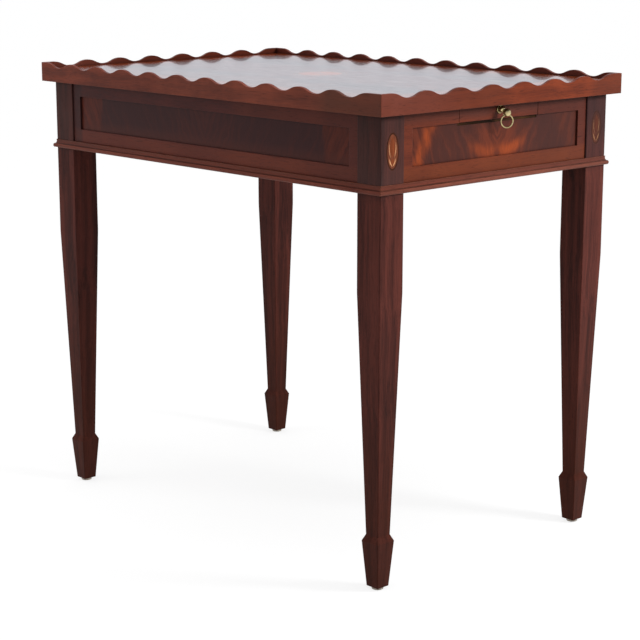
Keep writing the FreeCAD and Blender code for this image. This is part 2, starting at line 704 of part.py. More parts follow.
def main():
    block_length = BLOCK_SCREW_GRIP + BLOCK_SCREW_BITE
    top_length = BLOCK_HEIGHT + TOP_SCREW_BITE
    runner_length = FRAME_TOP - LEDGE_BOTTOM + TOP_SCREW_BITE
    block_spots = [spot for name, sx, sy in CORNERS for spot in block_screw_spots(sx, sy)]
    top_spots = [top_screw_spot(sx, sy) for name, sx, sy in CORNERS]
    runner_spots = {sy: runner_screw_spots(sy) for sy in (-1, 1)}
    both_runners = runner_spots[-1] + runner_spots[1]
    block_holes = [placed(screw(block_length, SCREW_FIT, BLOCK_REACH), *spot) for spot in block_spots]
    top_holes = [placed(screw(top_length, SCREW_FIT, CUT_OVERRUN), *spot) for spot in top_spots]
    runner_holes = [placed(screw(runner_length, SCREW_FIT, CUT_OVERRUN), *spot) for spot in both_runners]
    apron_holes = [placed(screw(block_length, SCREW_FIT, 0), *spot) for spot in block_spots]

    nodes = top_nodes(top_holes + runner_holes)
    nodes.update(frame_nodes(apron_holes))
    nodes.update(slide_nodes())
    nodes["corner_blocks"] = [corner_block(sx, sy).cut(block_holes + top_holes) for name, sx, sy in CORNERS]
    nodes["corner_block_screws"] = [placed(screw(block_length, 0, 0), *spot) for spot in block_spots]
    nodes["top_screws"] = [placed(screw(top_length, 0, 0), *spot) for spot in top_spots]
    nodes["runner_screws"] = [placed(screw(runner_length, 0, 0), *spot) for spot in both_runners]
    nodes["slide_runner_front"] = [runner(-1).cut(runner_holes)]
    nodes["slide_runner_back"] = [runner(1).cut(runner_holes)]

    os.makedirs("parts", exist_ok=True)
    for name, solids in nodes.items():
        shape = solids[0] if len(solids) == 1 else Part.makeCompound(solids)
        shape.exportStep("parts/" + name + ".step")
    travel = APRON_INNER_X - STOP_PIN_X - STOP_PIN_DIAMETER / 2
    print(len(nodes), "nodes; slide travel", round(travel, 3))
    print("ring hinge at x", round(HINGE_X, 3), "z", round(HINGE_HEIGHT, 3))


main()
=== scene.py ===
# %% [markdown]
# # Dressing an inlaid tea table
# The table is already built as solids: a veneered tray top inside a scalloped gallery, four tapered
# legs with spade feet, veneered friezes, and a pull-out slide with a ring pull at each end.
# This lesson gives every one of those parts its wood, metal or inlay, adds the small raised pieces
# that are easier to draw here, and lights the table the way a photographer's white studio does.

# %% Load the table and keep its box
import math

import bmesh
import bpy
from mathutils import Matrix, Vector


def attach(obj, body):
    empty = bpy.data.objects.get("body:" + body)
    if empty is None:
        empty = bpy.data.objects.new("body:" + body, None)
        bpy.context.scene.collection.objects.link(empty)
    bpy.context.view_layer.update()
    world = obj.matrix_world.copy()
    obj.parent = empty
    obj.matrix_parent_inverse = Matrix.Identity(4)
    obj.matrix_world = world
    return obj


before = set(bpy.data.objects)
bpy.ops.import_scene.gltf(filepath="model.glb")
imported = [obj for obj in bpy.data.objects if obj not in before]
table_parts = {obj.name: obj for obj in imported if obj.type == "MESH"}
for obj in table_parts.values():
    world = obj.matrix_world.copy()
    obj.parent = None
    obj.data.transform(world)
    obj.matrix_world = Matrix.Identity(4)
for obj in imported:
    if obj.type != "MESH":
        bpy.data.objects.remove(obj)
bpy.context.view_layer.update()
scene = bpy.context.scene
scene.view_settings.view_transform = "Standard"

# %% [markdown]
# ## The camera
# The three-quarter picture of the table was taken from a little above the tray, off the front right
# corner. Its place and direction were worked out from the table's corners, so the camera stands there.
# A longer lens from the same spot keeps that perspective and lets the table fill the square picture.

# %% Camera
CAMERA_PLACE = Vector((1.9982, -1.8702, 0.9025))
CAMERA_TURN = math.radians(46.91)
CAMERA_DIP = math.radians(12.51)
CAMERA_LENS = 100.0

level = math.cos(CAMERA_DIP)
look = Vector((-math.sin(CAMERA_TURN) * level, math.cos(CAMERA_TURN) * level, -math.sin(CAMERA_DIP)))
camera = bpy.data.objects.new("camera", bpy.data.cameras.new("camera"))
camera.data.lens = CAMERA_LENS
camera.location = CAMERA_PLACE
camera.rotation_euler = look.to_track_quat("-Z", "Y").to_euler()
scene.collection.objects.link(camera)
scene.camera = camera
print("camera", [round(part, 3) for part in CAMERA_PLACE], "lens", CAMERA_LENS)

# %% [markdown]
# ## Wiring nodes
# Every finish below is a small tree of nodes. Adding each node by hand takes four lines, so these
# helpers add one node, feed its inputs with numbers or with other nodes' outputs, and hand back the
# output. A colour is written as it is read off a screen, from 0 to 255, and made linear here.

# %% Colour and number helpers
def tone(red, green, blue):
    """A screen colour as the linear colour that a shader takes."""
    shares = [channel / 255 for channel in (red, green, blue)]
    linear = [s / 12.92 if s <= 0.04045 else ((s + 0.055) / 1.055) ** 2.4 for s in shares]
    return (*linear, 1.0)


def feed(tree, socket, value):
    """Links an output to a socket, or sets a plain value on it."""
    if isinstance(value, bpy.types.NodeSocket):
        tree.links.new(value, socket)
    else:
        socket.default_value = value


def reckon(tree, operation, *values):
    node = tree.nodes.new("ShaderNodeMath")
    node.operation = operation
    for socket, value in zip(node.inputs, values):
        feed(tree, socket, value)
    return node.outputs["Value"]


def times(tree, first, second):
    return reckon(tree, "MULTIPLY", first, second)


def plus(tree, first, second):
    return reckon(tree, "ADD", first, second)


def minus(tree, first, second):
    return reckon(tree, "SUBTRACT", first, second)


def over(tree, first, second):
    return reckon(tree, "DIVIDE", first, second)


def fade(tree, value, start, end):
    """0 before start and 1 after end, or the other way round where start is the larger."""
    node = tree.nodes.new("ShaderNodeMapRange")
    node.interpolation_type = "SMOOTHSTEP"
    for name, number in (("Value", value), ("From Min", start), ("From Max", end)):
        feed(tree, node.inputs[name], number)
    return node.outputs["Result"]


def spread(tree, value, low, high):
    """Stretches 0 to 1 over low to high."""
    return reckon(tree, "MULTIPLY_ADD", value, high - low, low)


print("a mid red of 150, 60, 40 is", [round(c, 3) for c in tone(150, 60, 40)])

# %% Place, noise and colour helpers
def place_of(tree):
    return tree.nodes.new("ShaderNodeTexCoord").outputs["Object"]


def split(tree, vector):
    node = tree.nodes.new("ShaderNodeSeparateXYZ")
    feed(tree, node.inputs["Vector"], vector)
    return node.outputs["X"], node.outputs["Y"], node.outputs["Z"]


def join(tree, x, y, z):
    node = tree.nodes.new("ShaderNodeCombineXYZ")
    for socket, value in zip(node.inputs, (x, y, z)):
        feed(tree, socket, value)
    return node.outputs["Vector"]


def vector_sum(tree, operation, first, second, output="Vector"):
    node = tree.nodes.new("ShaderNodeVectorMath")
    node.operation = operation
    feed(tree, node.inputs[0], first)
    feed(tree, node.inputs["Scale" if operation == "SCALE" else 1], second)
    return node.outputs[output]


def noise(tree, place, scale, detail=2.0, rough=0.5):
    node = tree.nodes.new("ShaderNodeTexNoise")
    for name, value in (("Vector", place), ("Scale", scale), ("Detail", detail), ("Roughness", rough)):
        feed(tree, node.inputs[name], value)
    return node.outputs[0]


def blend(tree, share, under, over_it):
    node = tree.nodes.new("ShaderNodeMix")
    node.data_type = "RGBA"
    colours = [socket for socket in node.inputs if socket.type == "RGBA"]
    feed(tree, node.inputs[0], share)
    feed(tree, colours[0], under)
    feed(tree, colours[1], over_it)
    return [socket for socket in node.outputs if socket.type == "RGBA"][0]


def new_finish(name):
    """An empty material with a Principled skin, for one finish."""
    finish = bpy.data.materials.new(name)
    finish.use_nodes = True
    tree = finish.node_tree
    tree.nodes.clear()
    skin = tree.nodes.new("ShaderNodeBsdfPrincipled")
    outlet = tree.nodes.new("ShaderNodeOutputMaterial")
    tree.links.new(skin.outputs["BSDF"], outlet.inputs["Surface"])
    return finish, tree, skin


def dress_skin(tree, skin, colour, dull, rough):
    """Gives a skin its colour, and a roughness between two ends that follows the value dull."""
    feed(tree, skin.inputs["Base Color"], colour)
    feed(tree, skin.inputs["Roughness"], spread(tree, dull, *rough))


def lay(finish, *names):
    """Puts a finish on parts of the table."""
    for name in names:
        for slot in table_parts[name].material_slots:
            slot.material = finish
    print(finish.name, "on", len(names), "parts")


# %% [markdown]
# ## The studio
# The picture has a plain white ground. A white floor and a white surround give that, and both are
# shown to mirror-like rays too, so that polish and brass reflect a pale room. The surround darkens
# overhead as a studio ceiling does, or else the polished top would look milky from above.

# %% Studio helpers
def neutral(value):
    """A linear grey."""
    return (value, value, value, 1.0)


def mix_shaders(tree, share, first, second):
    node = tree.nodes.new("ShaderNodeMixShader")
    for socket, value in zip(node.inputs, (share, first, second)):
        feed(tree, socket, value)
    return node.outputs["Shader"]


def ray_masks(tree):
    """A mask of the rays that mirror or pass through, and one of those and the camera's."""
    ray = tree.nodes.new("ShaderNodeLightPath").outputs
    mirrored = reckon(tree, "MAXIMUM", ray["Is Glossy Ray"], ray["Is Transmission Ray"])
    return mirrored, reckon(tree, "MAXIMUM", ray["Is Camera Ray"], mirrored)


# %% Surround
SURROUND_LIGHT = 0.36
CEILING_SHADE = 0.10
CEILING_FROM = 0.42
CEILING_FULL = 0.80
WALL_PAINT = (0.86, 0.87, 0.93, 1.0)
SURROUND_TINT = (0.97, 0.98, 1.0, 1.0)

studio = bpy.data.worlds.new("studio")
scene.world = studio
studio.use_nodes = True
air = studio.node_tree
air.nodes.clear()
direction = air.nodes.new("ShaderNodeTexCoord").outputs["Generated"]
overhead = fade(air, split(air, direction)[2], CEILING_FROM, CEILING_FULL)
walls = blend(air, overhead, WALL_PAINT, neutral(CEILING_SHADE))
mirrored, seen = ray_masks(air)
shown = air.nodes.new("ShaderNodeBackground")
feed(air, shown.inputs["Color"], blend(air, mirrored, neutral(1.0), walls))
soft = air.nodes.new("ShaderNodeBackground")
soft.inputs["Color"].default_value = SURROUND_TINT
soft.inputs["Strength"].default_value = SURROUND_LIGHT
surround = mix_shaders(air, seen, soft.outputs["Background"], shown.outputs["Background"])
feed(air, air.nodes.new("ShaderNodeOutputWorld").inputs["Surface"], surround)
print("surround lights at", SURROUND_LIGHT)

# %% [markdown]
# The floor is a wide sheet. What the camera sees of it is part glow and part lit paint: the glow lifts
# it to white, and the paint takes the table's shadow, so the feet still stand on something.

# %% Floor
FLOOR_REACH = 30.0
FLOOR_CELLS = 8
FLOOR_PAINT = 0.24
FLOOR_GLOW = 0.80
FLOOR_BOUNCE = 0.40

floor_mesh = bpy.data.meshes.new("floor")
sheet = bmesh.new()
bmesh.ops.create_grid(sheet, x_segments=FLOOR_CELLS, y_segments=FLOOR_CELLS, size=FLOOR_REACH)
sheet.to_mesh(floor_mesh)
sheet.free()
floor = bpy.data.objects.new("floor", floor_mesh)
scene.collection.objects.link(floor)

floor_finish = bpy.data.materials.new("white_floor")
floor_finish.use_nodes = True
ground = floor_finish.node_tree
ground.nodes.clear()
paint = ground.nodes.new("ShaderNodeBsdfDiffuse")
paint.inputs["Color"].default_value = neutral(FLOOR_PAINT)
glow = ground.nodes.new("ShaderNodeEmission")
glow.inputs["Strength"].default_value = FLOOR_GLOW
both = ground.nodes.new("ShaderNodeAddShader")
feed(ground, both.inputs[0], paint.outputs["BSDF"])
feed(ground, both.inputs[1], glow.outputs["Emission"])
bounce = ground.nodes.new("ShaderNodeBsdfDiffuse")
bounce.inputs["Color"].default_value = neutral(FLOOR_BOUNCE)
seen = ray_masks(ground)[1]
surface = mix_shaders(ground, seen, bounce.outputs["BSDF"], both.outputs["Shader"])
feed(ground, ground.nodes.new("ShaderNodeOutputMaterial").inputs["Surface"], surface)
floor_mesh.materials.append(floor_finish)
print("floor reaches", FLOOR_REACH, "m each way")

# %% [markdown]
# In the photo the end of the table is lit from high on its far side: the rail throws a line of shadow on
# the frieze, and the pull throws one to its left. The long front lies in half shade and darkens towards
# the near corner, so a weaker panel stands off its left end. A broad light overhead gives the tray its
# share, and the surround fills the rest.

# %% Lamps
OVERHEAD_STRENGTH = 1.5
OVERHEAD_SPREAD = math.radians(70)
END_PANEL = (Vector((1.50, 0.75, 1.15)), Vector((0.35, 0.0, 0.40)), 0.4, 20.0)
FRONT_PANEL = (Vector((-1.30, -1.70, 0.90)), Vector((-0.10, -0.20, 0.45)), 0.9, 7.0)

overhead_lamp = bpy.data.objects.new("overhead_lamp", bpy.data.lights.new("overhead_lamp", "SUN"))
overhead_lamp.data.energy = OVERHEAD_STRENGTH
overhead_lamp.data.angle = OVERHEAD_SPREAD
lamps = [overhead_lamp]
for name, (place, aim, side, power) in (("end_panel", END_PANEL), ("front_panel", FRONT_PANEL)):
    panel = bpy.data.objects.new(name, bpy.data.lights.new(name, "AREA"))
    panel.data.energy = power
    panel.data.size = side
    panel.location = place
    panel.rotation_euler = (aim - place).to_track_quat("-Z", "Y").to_euler()
    lamps.append(panel)
for lamp in lamps:
    lamp.visible_glossy = False
    lamp.visible_camera = False
    scene.collection.objects.link(lamp)
print("lamps:", [lamp.name for lamp in lamps])

# %% [markdown]
# ## Shared effects
# Wood grain, worn edges with a painted highlight, and grime with painted shade in the corners come up in
# many finishes, so each is a node group:
# one small machine with named inputs and outputs that every finish places with its own values.
# The grain group squeezes space along the grain before it looks noise up, which draws the noise out
# into long fibres whichever way a board runs.

# %% Grain group
def start_group(name, inputs, outputs):
    group = bpy.data.node_groups.new(name, "ShaderNodeTree")
    for label, kind, value in inputs:
        socket = group.interface.new_socket(label, in_out="INPUT", socket_type=kind)
        if value is not None:
            socket.default_value = value
    for label, kind in outputs:
        group.interface.new_socket(label, in_out="OUTPUT", socket_type=kind)
    given = group.nodes.new("NodeGroupInput").outputs
    made = group.nodes.new("NodeGroupOutput").inputs
    return group, given, made


FLOAT, VECTOR = "NodeSocketFloat", "NodeSocketVector"
GRAIN_DRAW = 0.965
SWAY_SCALE, SWAY_REACH = 9.0, 0.012
FIBRE_SCALE = 620.0
PORE_SCALE = 1500.0

grain_group, given, made = start_group(
    "wood_grain",
    [
        ("Place", VECTOR, None), ("Grain", VECTOR, (0.0, 0.0, 1.0)), ("Ribbon", FLOAT, 45.0),
        ("Patch", FLOAT, 11.0), ("Seed", FLOAT, 0.0),
    ],
    [("Ribbon", FLOAT), ("Fibre", FLOAT), ("Pores", FLOAT), ("Mottle", FLOAT)],
)
along = vector_sum(grain_group, "DOT_PRODUCT", given["Place"], given["Grain"], "Value")
taken = vector_sum(grain_group, "SCALE", given["Grain"], times(grain_group, along, GRAIN_DRAW))
drawn = vector_sum(grain_group, "SUBTRACT", given["Place"], taken)
sway = noise(grain_group, given["Place"], SWAY_SCALE, 1.0)
swayed = reckon(grain_group, "MULTIPLY_ADD", sway, SWAY_REACH, given["Seed"])
drawn = vector_sum(grain_group, "ADD", drawn, join(grain_group, swayed, swayed, swayed))
ribbon = noise(grain_group, drawn, given["Ribbon"], 2.0, 0.55)
fibre = noise(grain_group, drawn, FIBRE_SCALE, 3.0, 0.6)
pores = noise(grain_group, drawn, PORE_SCALE, 1.0, 0.4)
moved = vector_sum(grain_group, "ADD", given["Place"], join(grain_group, given["Seed"], 0.0, 0.0))
mottle = noise(grain_group, moved, given["Patch"], 3.0)
feed(grain_group, made["Ribbon"], fade(grain_group, ribbon, 0.32, 0.68))
feed(grain_group, made["Fibre"], fade(grain_group, fibre, 0.30, 0.70))
feed(grain_group, made["Pores"], fade(grain_group, pores, 0.60, 0.72))
feed(grain_group, made["Mottle"], fade(grain_group, mottle, 0.33, 0.67))
print("grain group has", len(grain_group.nodes), "nodes")

# %% [markdown]
# Handling rubs the colour off proud edges, and the lighter worn tone there is partly wear and partly a
# painted highlight. The Bevel node gives the normal as if the edge were rounded, and where that differs from
# the true normal there is an edge. The same normal also softens the shine along the arris. Grime and painted
# shade are the opposite: an occlusion mask darkens where the surface is hemmed in.

# %% Edge wear and highlight, grime and shade groups
EFFECT_SAMPLES = 6
WEAR_WIDTH, RUB_SCALE = 0.0010, 60.0
SHADE_GRIME_REACH, SHADE_GRIME_SCALE = 0.009, 45.0

edge_wear_highlight_group, given, made = start_group(
    "worn_and_highlit_edge",
    [("Place", VECTOR, None), ("Width", FLOAT, WEAR_WIDTH)],
    [("WearAndHighlight", FLOAT), ("Normal", VECTOR)],
)
rounded = edge_wear_highlight_group.nodes.new("ShaderNodeBevel")
rounded.samples = EFFECT_SAMPLES
feed(edge_wear_highlight_group, rounded.inputs["Radius"], given["Width"])
true_normal = edge_wear_highlight_group.nodes.new("ShaderNodeNewGeometry").outputs["Normal"]
same = vector_sum(edge_wear_highlight_group, "DOT_PRODUCT", rounded.outputs["Normal"], true_normal, "Value")
rub = fade(edge_wear_highlight_group, noise(edge_wear_highlight_group, given["Place"], RUB_SCALE, 3.0), 0.25, 0.65)
feed(edge_wear_highlight_group, made["WearAndHighlight"], times(edge_wear_highlight_group, fade(edge_wear_highlight_group, same, 0.985, 0.80), rub))
feed(edge_wear_highlight_group, made["Normal"], rounded.outputs["Normal"])

shade_grime_group, given, made = start_group(
    "corner_grime_and_shade", [("Place", VECTOR, None), ("Reach", FLOAT, SHADE_GRIME_REACH)], [("GrimeAndShade", FLOAT)]
)
# An occlusion mask with patches: settled grime, and painted shade in corners, under overhangs and between
# parts.
hemmed = shade_grime_group.nodes.new("ShaderNodeAmbientOcclusion")
hemmed.samples = EFFECT_SAMPLES
feed(shade_grime_group, hemmed.inputs["Distance"], given["Reach"])
patchy = spread(shade_grime_group, noise(shade_grime_group, given["Place"], SHADE_GRIME_SCALE, 3.0), 0.5, 1.2)
closed = fade(shade_grime_group, hemmed.outputs["AO"], 0.82, 0.34)
feed(shade_grime_group, made["GrimeAndShade"], times(shade_grime_group, closed, patchy))
print("edge and grime groups ready")


# %% Placing a group in a finish
BUMP_STRENGTH = 0.6


def place_group(tree, group, **inputs):
    node = tree.nodes.new("ShaderNodeGroup")
    node.node_tree = group
    for name, value in inputs.items():
        feed(tree, node.inputs[name], value)
    return node.outputs


def raise_bump(tree, skin, height, depth, normal=None):
    bump = tree.nodes.new("ShaderNodeBump")
    bump.inputs["Strength"].default_value = BUMP_STRENGTH
    bump.inputs["Distance"].default_value = depth
    feed(tree, bump.inputs["Height"], height)
    if normal is not None:
        feed(tree, bump.inputs["Normal"], normal)
    feed(tree, skin.inputs["Normal"], bump.outputs["Normal"])


# %% [markdown]
# ## Solid mahogany
# Legs, gallery and mouldings are cut from the solid and rubbed to a satin polish. The wood is a red brown
# with darker ribbons, fine fibres and open pores along the board. One function makes it for any grain
# direction and any pair of colours, since the gallery is warmer and the legs darker. How much the ribbons,
# the fibres and the patches weigh is given too, and other colours can take over along x, y or z.

# %% Solid mahogany
ALONG_X, ALONG_Y, ALONG_Z = (1.0, 0.0, 0.0), (0.0, 1.0, 0.0), (0.0, 0.0, 1.0)
SATIN_SPECULAR = 0.09
CHANGE_LEAST = 0.6
SATIN_ROUGH = (0.32, 0.42)
PORE_TONE, GRIME_SHADE_TONE = tone(30, 17, 14), tone(22, 13, 12)
PORE_SHARE = 0.45
GRIME_DULL = 0.25
WOOD_RELIEF = 0.00005


def satin(skin, shine=SATIN_SPECULAR):
    skin.inputs["Specular IOR Level"].default_value = shine


def way_along(tree, place, way):
    """One coordinate by its letter, or its size without the sign where off_ stands before the letter."""
    part = split(tree, place)["xyz".index(way[-1])]
    return reckon(tree, "ABSOLUTE", part) if way.startswith("off_") else part


def take_over(tree, place, mottle, colour, changes):
    """Lets each change put its colour on where its coordinate passes from start to end."""
    for way, start, end, share, other in changes:
        taken = times(tree, fade(tree, way_along(tree, place, way), start, end), share)
        taken = times(tree, taken, spread(tree, mottle, CHANGE_LEAST, 1.0))
        colour = blend(tree, taken, colour, tone(*other))
    return colour


EVEN_FIGURE = {"Ribbon": 0.5, "Fibre": 0.3, "Mottle": 0.25}


def solid_mahogany(
    name, grain, tones, seed, figure=EVEN_FIGURE, ribbon=48.0, patch=11.0, wear_and_highlight=0.45, grime_shade_share=0.8,
    changes=(), shine=SATIN_SPECULAR,
):
    dark, light, worn_and_highlit = (tone(*colour) for colour in tones)
    finish, tree, skin = new_finish(name)
    place = place_of(tree)
    wood = place_group(tree, grain_group, Place=place, Grain=grain, Ribbon=ribbon, Patch=patch, Seed=seed)
    edge = place_group(tree, edge_wear_highlight_group, Place=place)
    grime_and_shade = place_group(tree, shade_grime_group, Place=place)["GrimeAndShade"]
    lit = 0.0
    for part, weight in figure.items():
        lit = reckon(tree, "MULTIPLY_ADD", wood[part], weight, lit)
    colour = blend(tree, lit, dark, light)
    colour = take_over(tree, place, wood["Mottle"], colour, changes)
    colour = blend(tree, times(tree, wood["Pores"], PORE_SHARE), colour, PORE_TONE)
    # Edges take the lighter worn tone, which is partly real wear and partly a painted highlight along the
    # arris.
    colour = blend(tree, times(tree, edge["WearAndHighlight"], wear_and_highlight), colour, worn_and_highlit)
    # Near-black grime in corners, which is also painted shade where parts hem the wood in and under
    # overhangs.
    colour = blend(tree, times(tree, grime_and_shade, grime_shade_share), colour, GRIME_SHADE_TONE)
    feed(tree, skin.inputs["Base Color"], colour)
    dull = spread(tree, wood["Fibre"], *SATIN_ROUGH)
    feed(tree, skin.inputs["Roughness"], reckon(tree, "MULTIPLY_ADD", grime_and_shade, GRIME_DULL, dull))
    satin(skin, shine)
    height = minus(tree, times(tree, wood["Fibre"], 0.4), wood["Pores"])
    raise_bump(tree, skin, height, WOOD_RELIEF, edge["Normal"])
    return finish


LONG_RAIL = ((84, 42, 34), (148, 73, 53), (170, 98, 70))
SHORT_RAIL = ((80, 35, 24), (138, 62, 36), (168, 92, 62))
RAIL_FIGURE = {"Ribbon": 0.4, "Fibre": 0.25, "Mottle": 0.3}
RAIL_PATCH = 20.0
# The inner faces of the gallery rails get a darker tone as painted shade.
LONG_INSIDE_SHADE = ("off_y", 0.2470, 0.2450, 0.6, (78, 34, 26))
SHORT_INSIDE_SHADE = ("off_x", 0.3780, 0.3760, 0.6, (78, 34, 26))
SHORT_MIDDLE = ("y", 0.03, -0.03, 0.5, (84, 44, 33))
SHORT_NEAR = ("y", -0.07, -0.18, 1.0, (122, 64, 51))
SHORT_FAR = ("y", 0.165, 0.200, 0.5, (84, 44, 33))
FRONT_LIGHT = ("x", -0.10, -0.06, 0.35, (152, 80, 60))
DARK_CORNER = ("x", 0.235, 0.285, 0.8, (88, 54, 42))


def rail_finish(side, grain, tones, seed, changes):
    name = "gallery_mahogany_" + side
    return solid_mahogany(name, grain, tones, seed, RAIL_FIGURE, patch=RAIL_PATCH, changes=changes)


front_changes = (FRONT_LIGHT, LONG_INSIDE_SHADE, DARK_CORNER)
short_changes = (SHORT_INSIDE_SHADE, SHORT_MIDDLE, SHORT_NEAR, SHORT_FAR)
lay(rail_finish("front", ALONG_X, LONG_RAIL, 0.3, front_changes), "gallery_front")
lay(rail_finish("back", ALONG_X, LONG_RAIL, 0.9, (LONG_INSIDE_SHADE,)), "gallery_back")
lay(rail_finish("short", ALONG_Y, SHORT_RAIL, 1.7, short_changes), "gallery_left", "gallery_right")

# %% [markdown]
# The legs are darker than the gallery, with strong upright ribbons, and darker again towards the floor.
# Over the moulding the posts are greyer, with painted shade towards their tops under the gallery, and the
# back right post is darker there as painted shade. The moulding's nose keeps the lighter tone and a worn
# tone that is partly wear and partly a painted highlight; a painted shade darkens the quirk over it, and a
# little lies over the cove.

# %% Legs, mouldings and slides
CORNERS = ("front_left", "front_right", "back_left", "back_right")
LEG_TONES = ((52, 30, 28), (106, 56, 48), (126, 70, 52))
LEG_FIGURE = {"Ribbon": 0.6, "Fibre": 0.35, "Mottle": 0.1}
LEG_RIBBON, LEG_SHINE = 90.0, 0.04
LEG_SEED = 3.1
LEG_FOOT = ("z", 0.42, 0.02, 0.8, (68, 33, 21))
POST_GREY = ("z", 0.545, 0.573, 0.60, (73, 57, 55))
# Painted shade under the gallery darkens the tops of the posts.
POST_TOP_SHADE = ("z", 0.615, 0.660, 0.22, (58, 46, 46))
# The back right post is darker above the moulding as painted shade.
SHADED_POST = ("z", 0.545, 0.573, 0.85, (60, 43, 43))


def leg_finish(name, changes):
    return solid_mahogany(
        name, ALONG_Z, LEG_TONES, LEG_SEED, LEG_FIGURE, LEG_RIBBON, changes=changes, shine=LEG_SHINE
    )


leg_wood = leg_finish("leg_mahogany", (LEG_FOOT, POST_GREY, POST_TOP_SHADE))
shaded_post_wood = leg_finish("leg_mahogany_shaded_post", (LEG_FOOT, SHADED_POST))
lay(leg_wood, "leg_front_left", "leg_front_right", "leg_back_left")
lay(shaded_post_wood, "leg_back_right")

LONG_MOULD = ((98, 48, 38), (150, 81, 63), (200, 128, 94))
SHORT_MOULD = ((90, 48, 38), (142, 81, 64), (200, 132, 98))
# Painted shade: a dark line in the quirk over the nose, the middle tone back over the cove, and a slightly
# darker top.
MOULD_SHADE_LINES = (
    ("z", 0.5616, 0.5624, 0.80, (44, 25, 20)),
    ("z", 0.5632, 0.5642, 0.95, (118, 60, 46)),
    ("z", 0.5672, 0.5686, 0.40, (84, 45, 36)),
)
MOULD_GRIME_SHADE = 0.4
LEFT_MOULD = ("x", -0.20, -0.28, 0.35, (70, 38, 32))
# The far part of the end mouldings is darker as painted shade.
FAR_MOULD_SHADE = ("y", 0.04, 0.16, 0.45, (72, 42, 36))
long_lines = (*MOULD_SHADE_LINES, LEFT_MOULD)
short_lines = (*MOULD_SHADE_LINES, FAR_MOULD_SHADE)
mould_long = solid_mahogany(
    "moulding_mahogany_long", ALONG_X, LONG_MOULD, 4.4, grime_shade_share=MOULD_GRIME_SHADE, changes=long_lines
)
mould_short = solid_mahogany(
    "moulding_mahogany_short", ALONG_Y, SHORT_MOULD, 5.9, grime_shade_share=MOULD_GRIME_SHADE, changes=short_lines
)
lay(mould_long, "base_moulding_front", "base_moulding_back")
lay(mould_short, "base_moulding_left", "base_moulding_right")

SLIDE_TONES = ((96, 46, 32), (140, 72, 46), (160, 92, 62))
lay(solid_mahogany("slide_mahogany", ALONG_X, SLIDE_TONES, 6.6), "slide_board_right", "slide_board_left")

# %% [markdown]
# ## Frieze borders and slide fronts
# The strips round each frieze panel, and the fronts of the slides, are thin. On the long sides they are
# nearly as dark as the posts, and on the ends redder. The bottom strips are a warmer cut than the others.
# Painted shade darkens the top of the end strips and slide fronts under the gallery, the far part of the end
# strips, and the left end strip on the long sides.

# %% Border strips
LONG_BORDER = ((68, 35, 33), (96, 47, 42), (110, 60, 48))
SHORT_BORDER = ((84, 39, 30), (124, 59, 40), (150, 82, 56))
BORDER_GRIME_SHADE = 0.5
LONG_FOOT = ("z", 0.595, 0.583, 0.9, (112, 55, 41))
LONG_LIGHT = ("x", 0.04, 0.10, 0.35, (126, 64, 47))
LONG_NEAR = ("x", 0.235, 0.270, 0.45, (78, 41, 37))
# The left end strip on the long sides is darker as painted shade.
LONG_CORNER_SHADE = ("x", -0.296, -0.304, 0.90, (62, 38, 37))
SHORT_FOOT = ("z", 0.595, 0.583, 0.7, (121, 60, 35))
# A painted shadow darkens the top of the end strips and slide fronts under the gallery.
SHORT_TOP_SHADOW = ("z", 0.640, 0.652, 0.65, (72, 46, 42))
# The far part of the end strips is darker as painted shade, a little less so at the far corner.
BORDER_FAR_SHADE = ("y", 0.04, 0.11, 0.95, (80, 41, 34))
BORDER_CORNER_SHADE = ("y", 0.165, 0.178, 0.50, (90, 46, 37))
long_changes = (LONG_FOOT, LONG_LIGHT, LONG_NEAR, LONG_CORNER_SHADE)
border_long = solid_mahogany(
    "border_mahogany_long", ALONG_X, LONG_BORDER, 7.2, wear_and_highlight=0.2, grime_shade_share=BORDER_GRIME_SHADE, changes=long_changes
)
end_changes = (SHORT_TOP_SHADOW, BORDER_FAR_SHADE, BORDER_CORNER_SHADE, SHORT_FOOT)
border_short = solid_mahogany(
    "border_mahogany_short", ALONG_Y, SHORT_BORDER, 8.3, wear_and_highlight=0.3, grime_shade_share=BORDER_GRIME_SHADE, changes=end_changes
)
lay(border_long, "frieze_border_front", "frieze_border_back")
lay(border_short, "frieze_border_left", "frieze_border_right", "slide_front_left", "slide_front_right")

# %% [markdown]
# ## The polish on the tray
# The tray is the showpiece, with a filled and rubbed polish like glass over the veneers. That clear skin is
# a coat over the wood, so from a low eye level the tray mirrors the pale room, as it does in the photo,
# and from above the figure shows through.

# %% Tray polish
TRAY_POLISH = {
    "Coat Weight": 0.39, "Coat Roughness": 0.03, "Coat IOR": 1.5, "Specular IOR Level": 0.35,
}
TRAY_ROUGH = (0.16, 0.26)


def polish_tray(tree, skin, colour, fibre):
    for name, value in TRAY_POLISH.items():
        skin.inputs[name].default_value = value
    dress_skin(tree, skin, colour, fibre, TRAY_ROUGH)


# %% [markdown]
# ## Crotch veneer on the field
# The field is four leaves cut one after another from the fork of a tree and opened like a book twice, so
# the figure mirrors about both middle lines. Feather streaks leave the long middle line, sweep outwards
# and turn upright where they run into a dark cloud; outside it the growth lines arch over the middle.
# All of this is drawn in millimetres from the centre, with the sign dropped, and that gives the mirroring.

# %% Field figure: feathers
MILLIMETRES = 1000.0
FEATHER_TOP = 76.0
FEATHER_SWEEP = 105.0
FEATHER_SWAY = 18.0
BROAD_STREAK, FINE_STREAK = (10.0, 120.0), (2.5, 70.0)


def wandering(tree, u, v, layer, scale, detail, reach):
    """A slow wandering by up to reach either way."""
    return spread(tree, noise(tree, join(tree, u, v, layer), scale, detail), -reach, reach)


def drawn_streaks(tree, across, along, size, layer, detail=3.0, rough=0.6):
    """Noise drawn out into streaks of a given width and length."""
    width, length = size
    place = join(tree, over(tree, across, width), over(tree, along, length), layer)
    return noise(tree, place, 1.0, detail, rough)


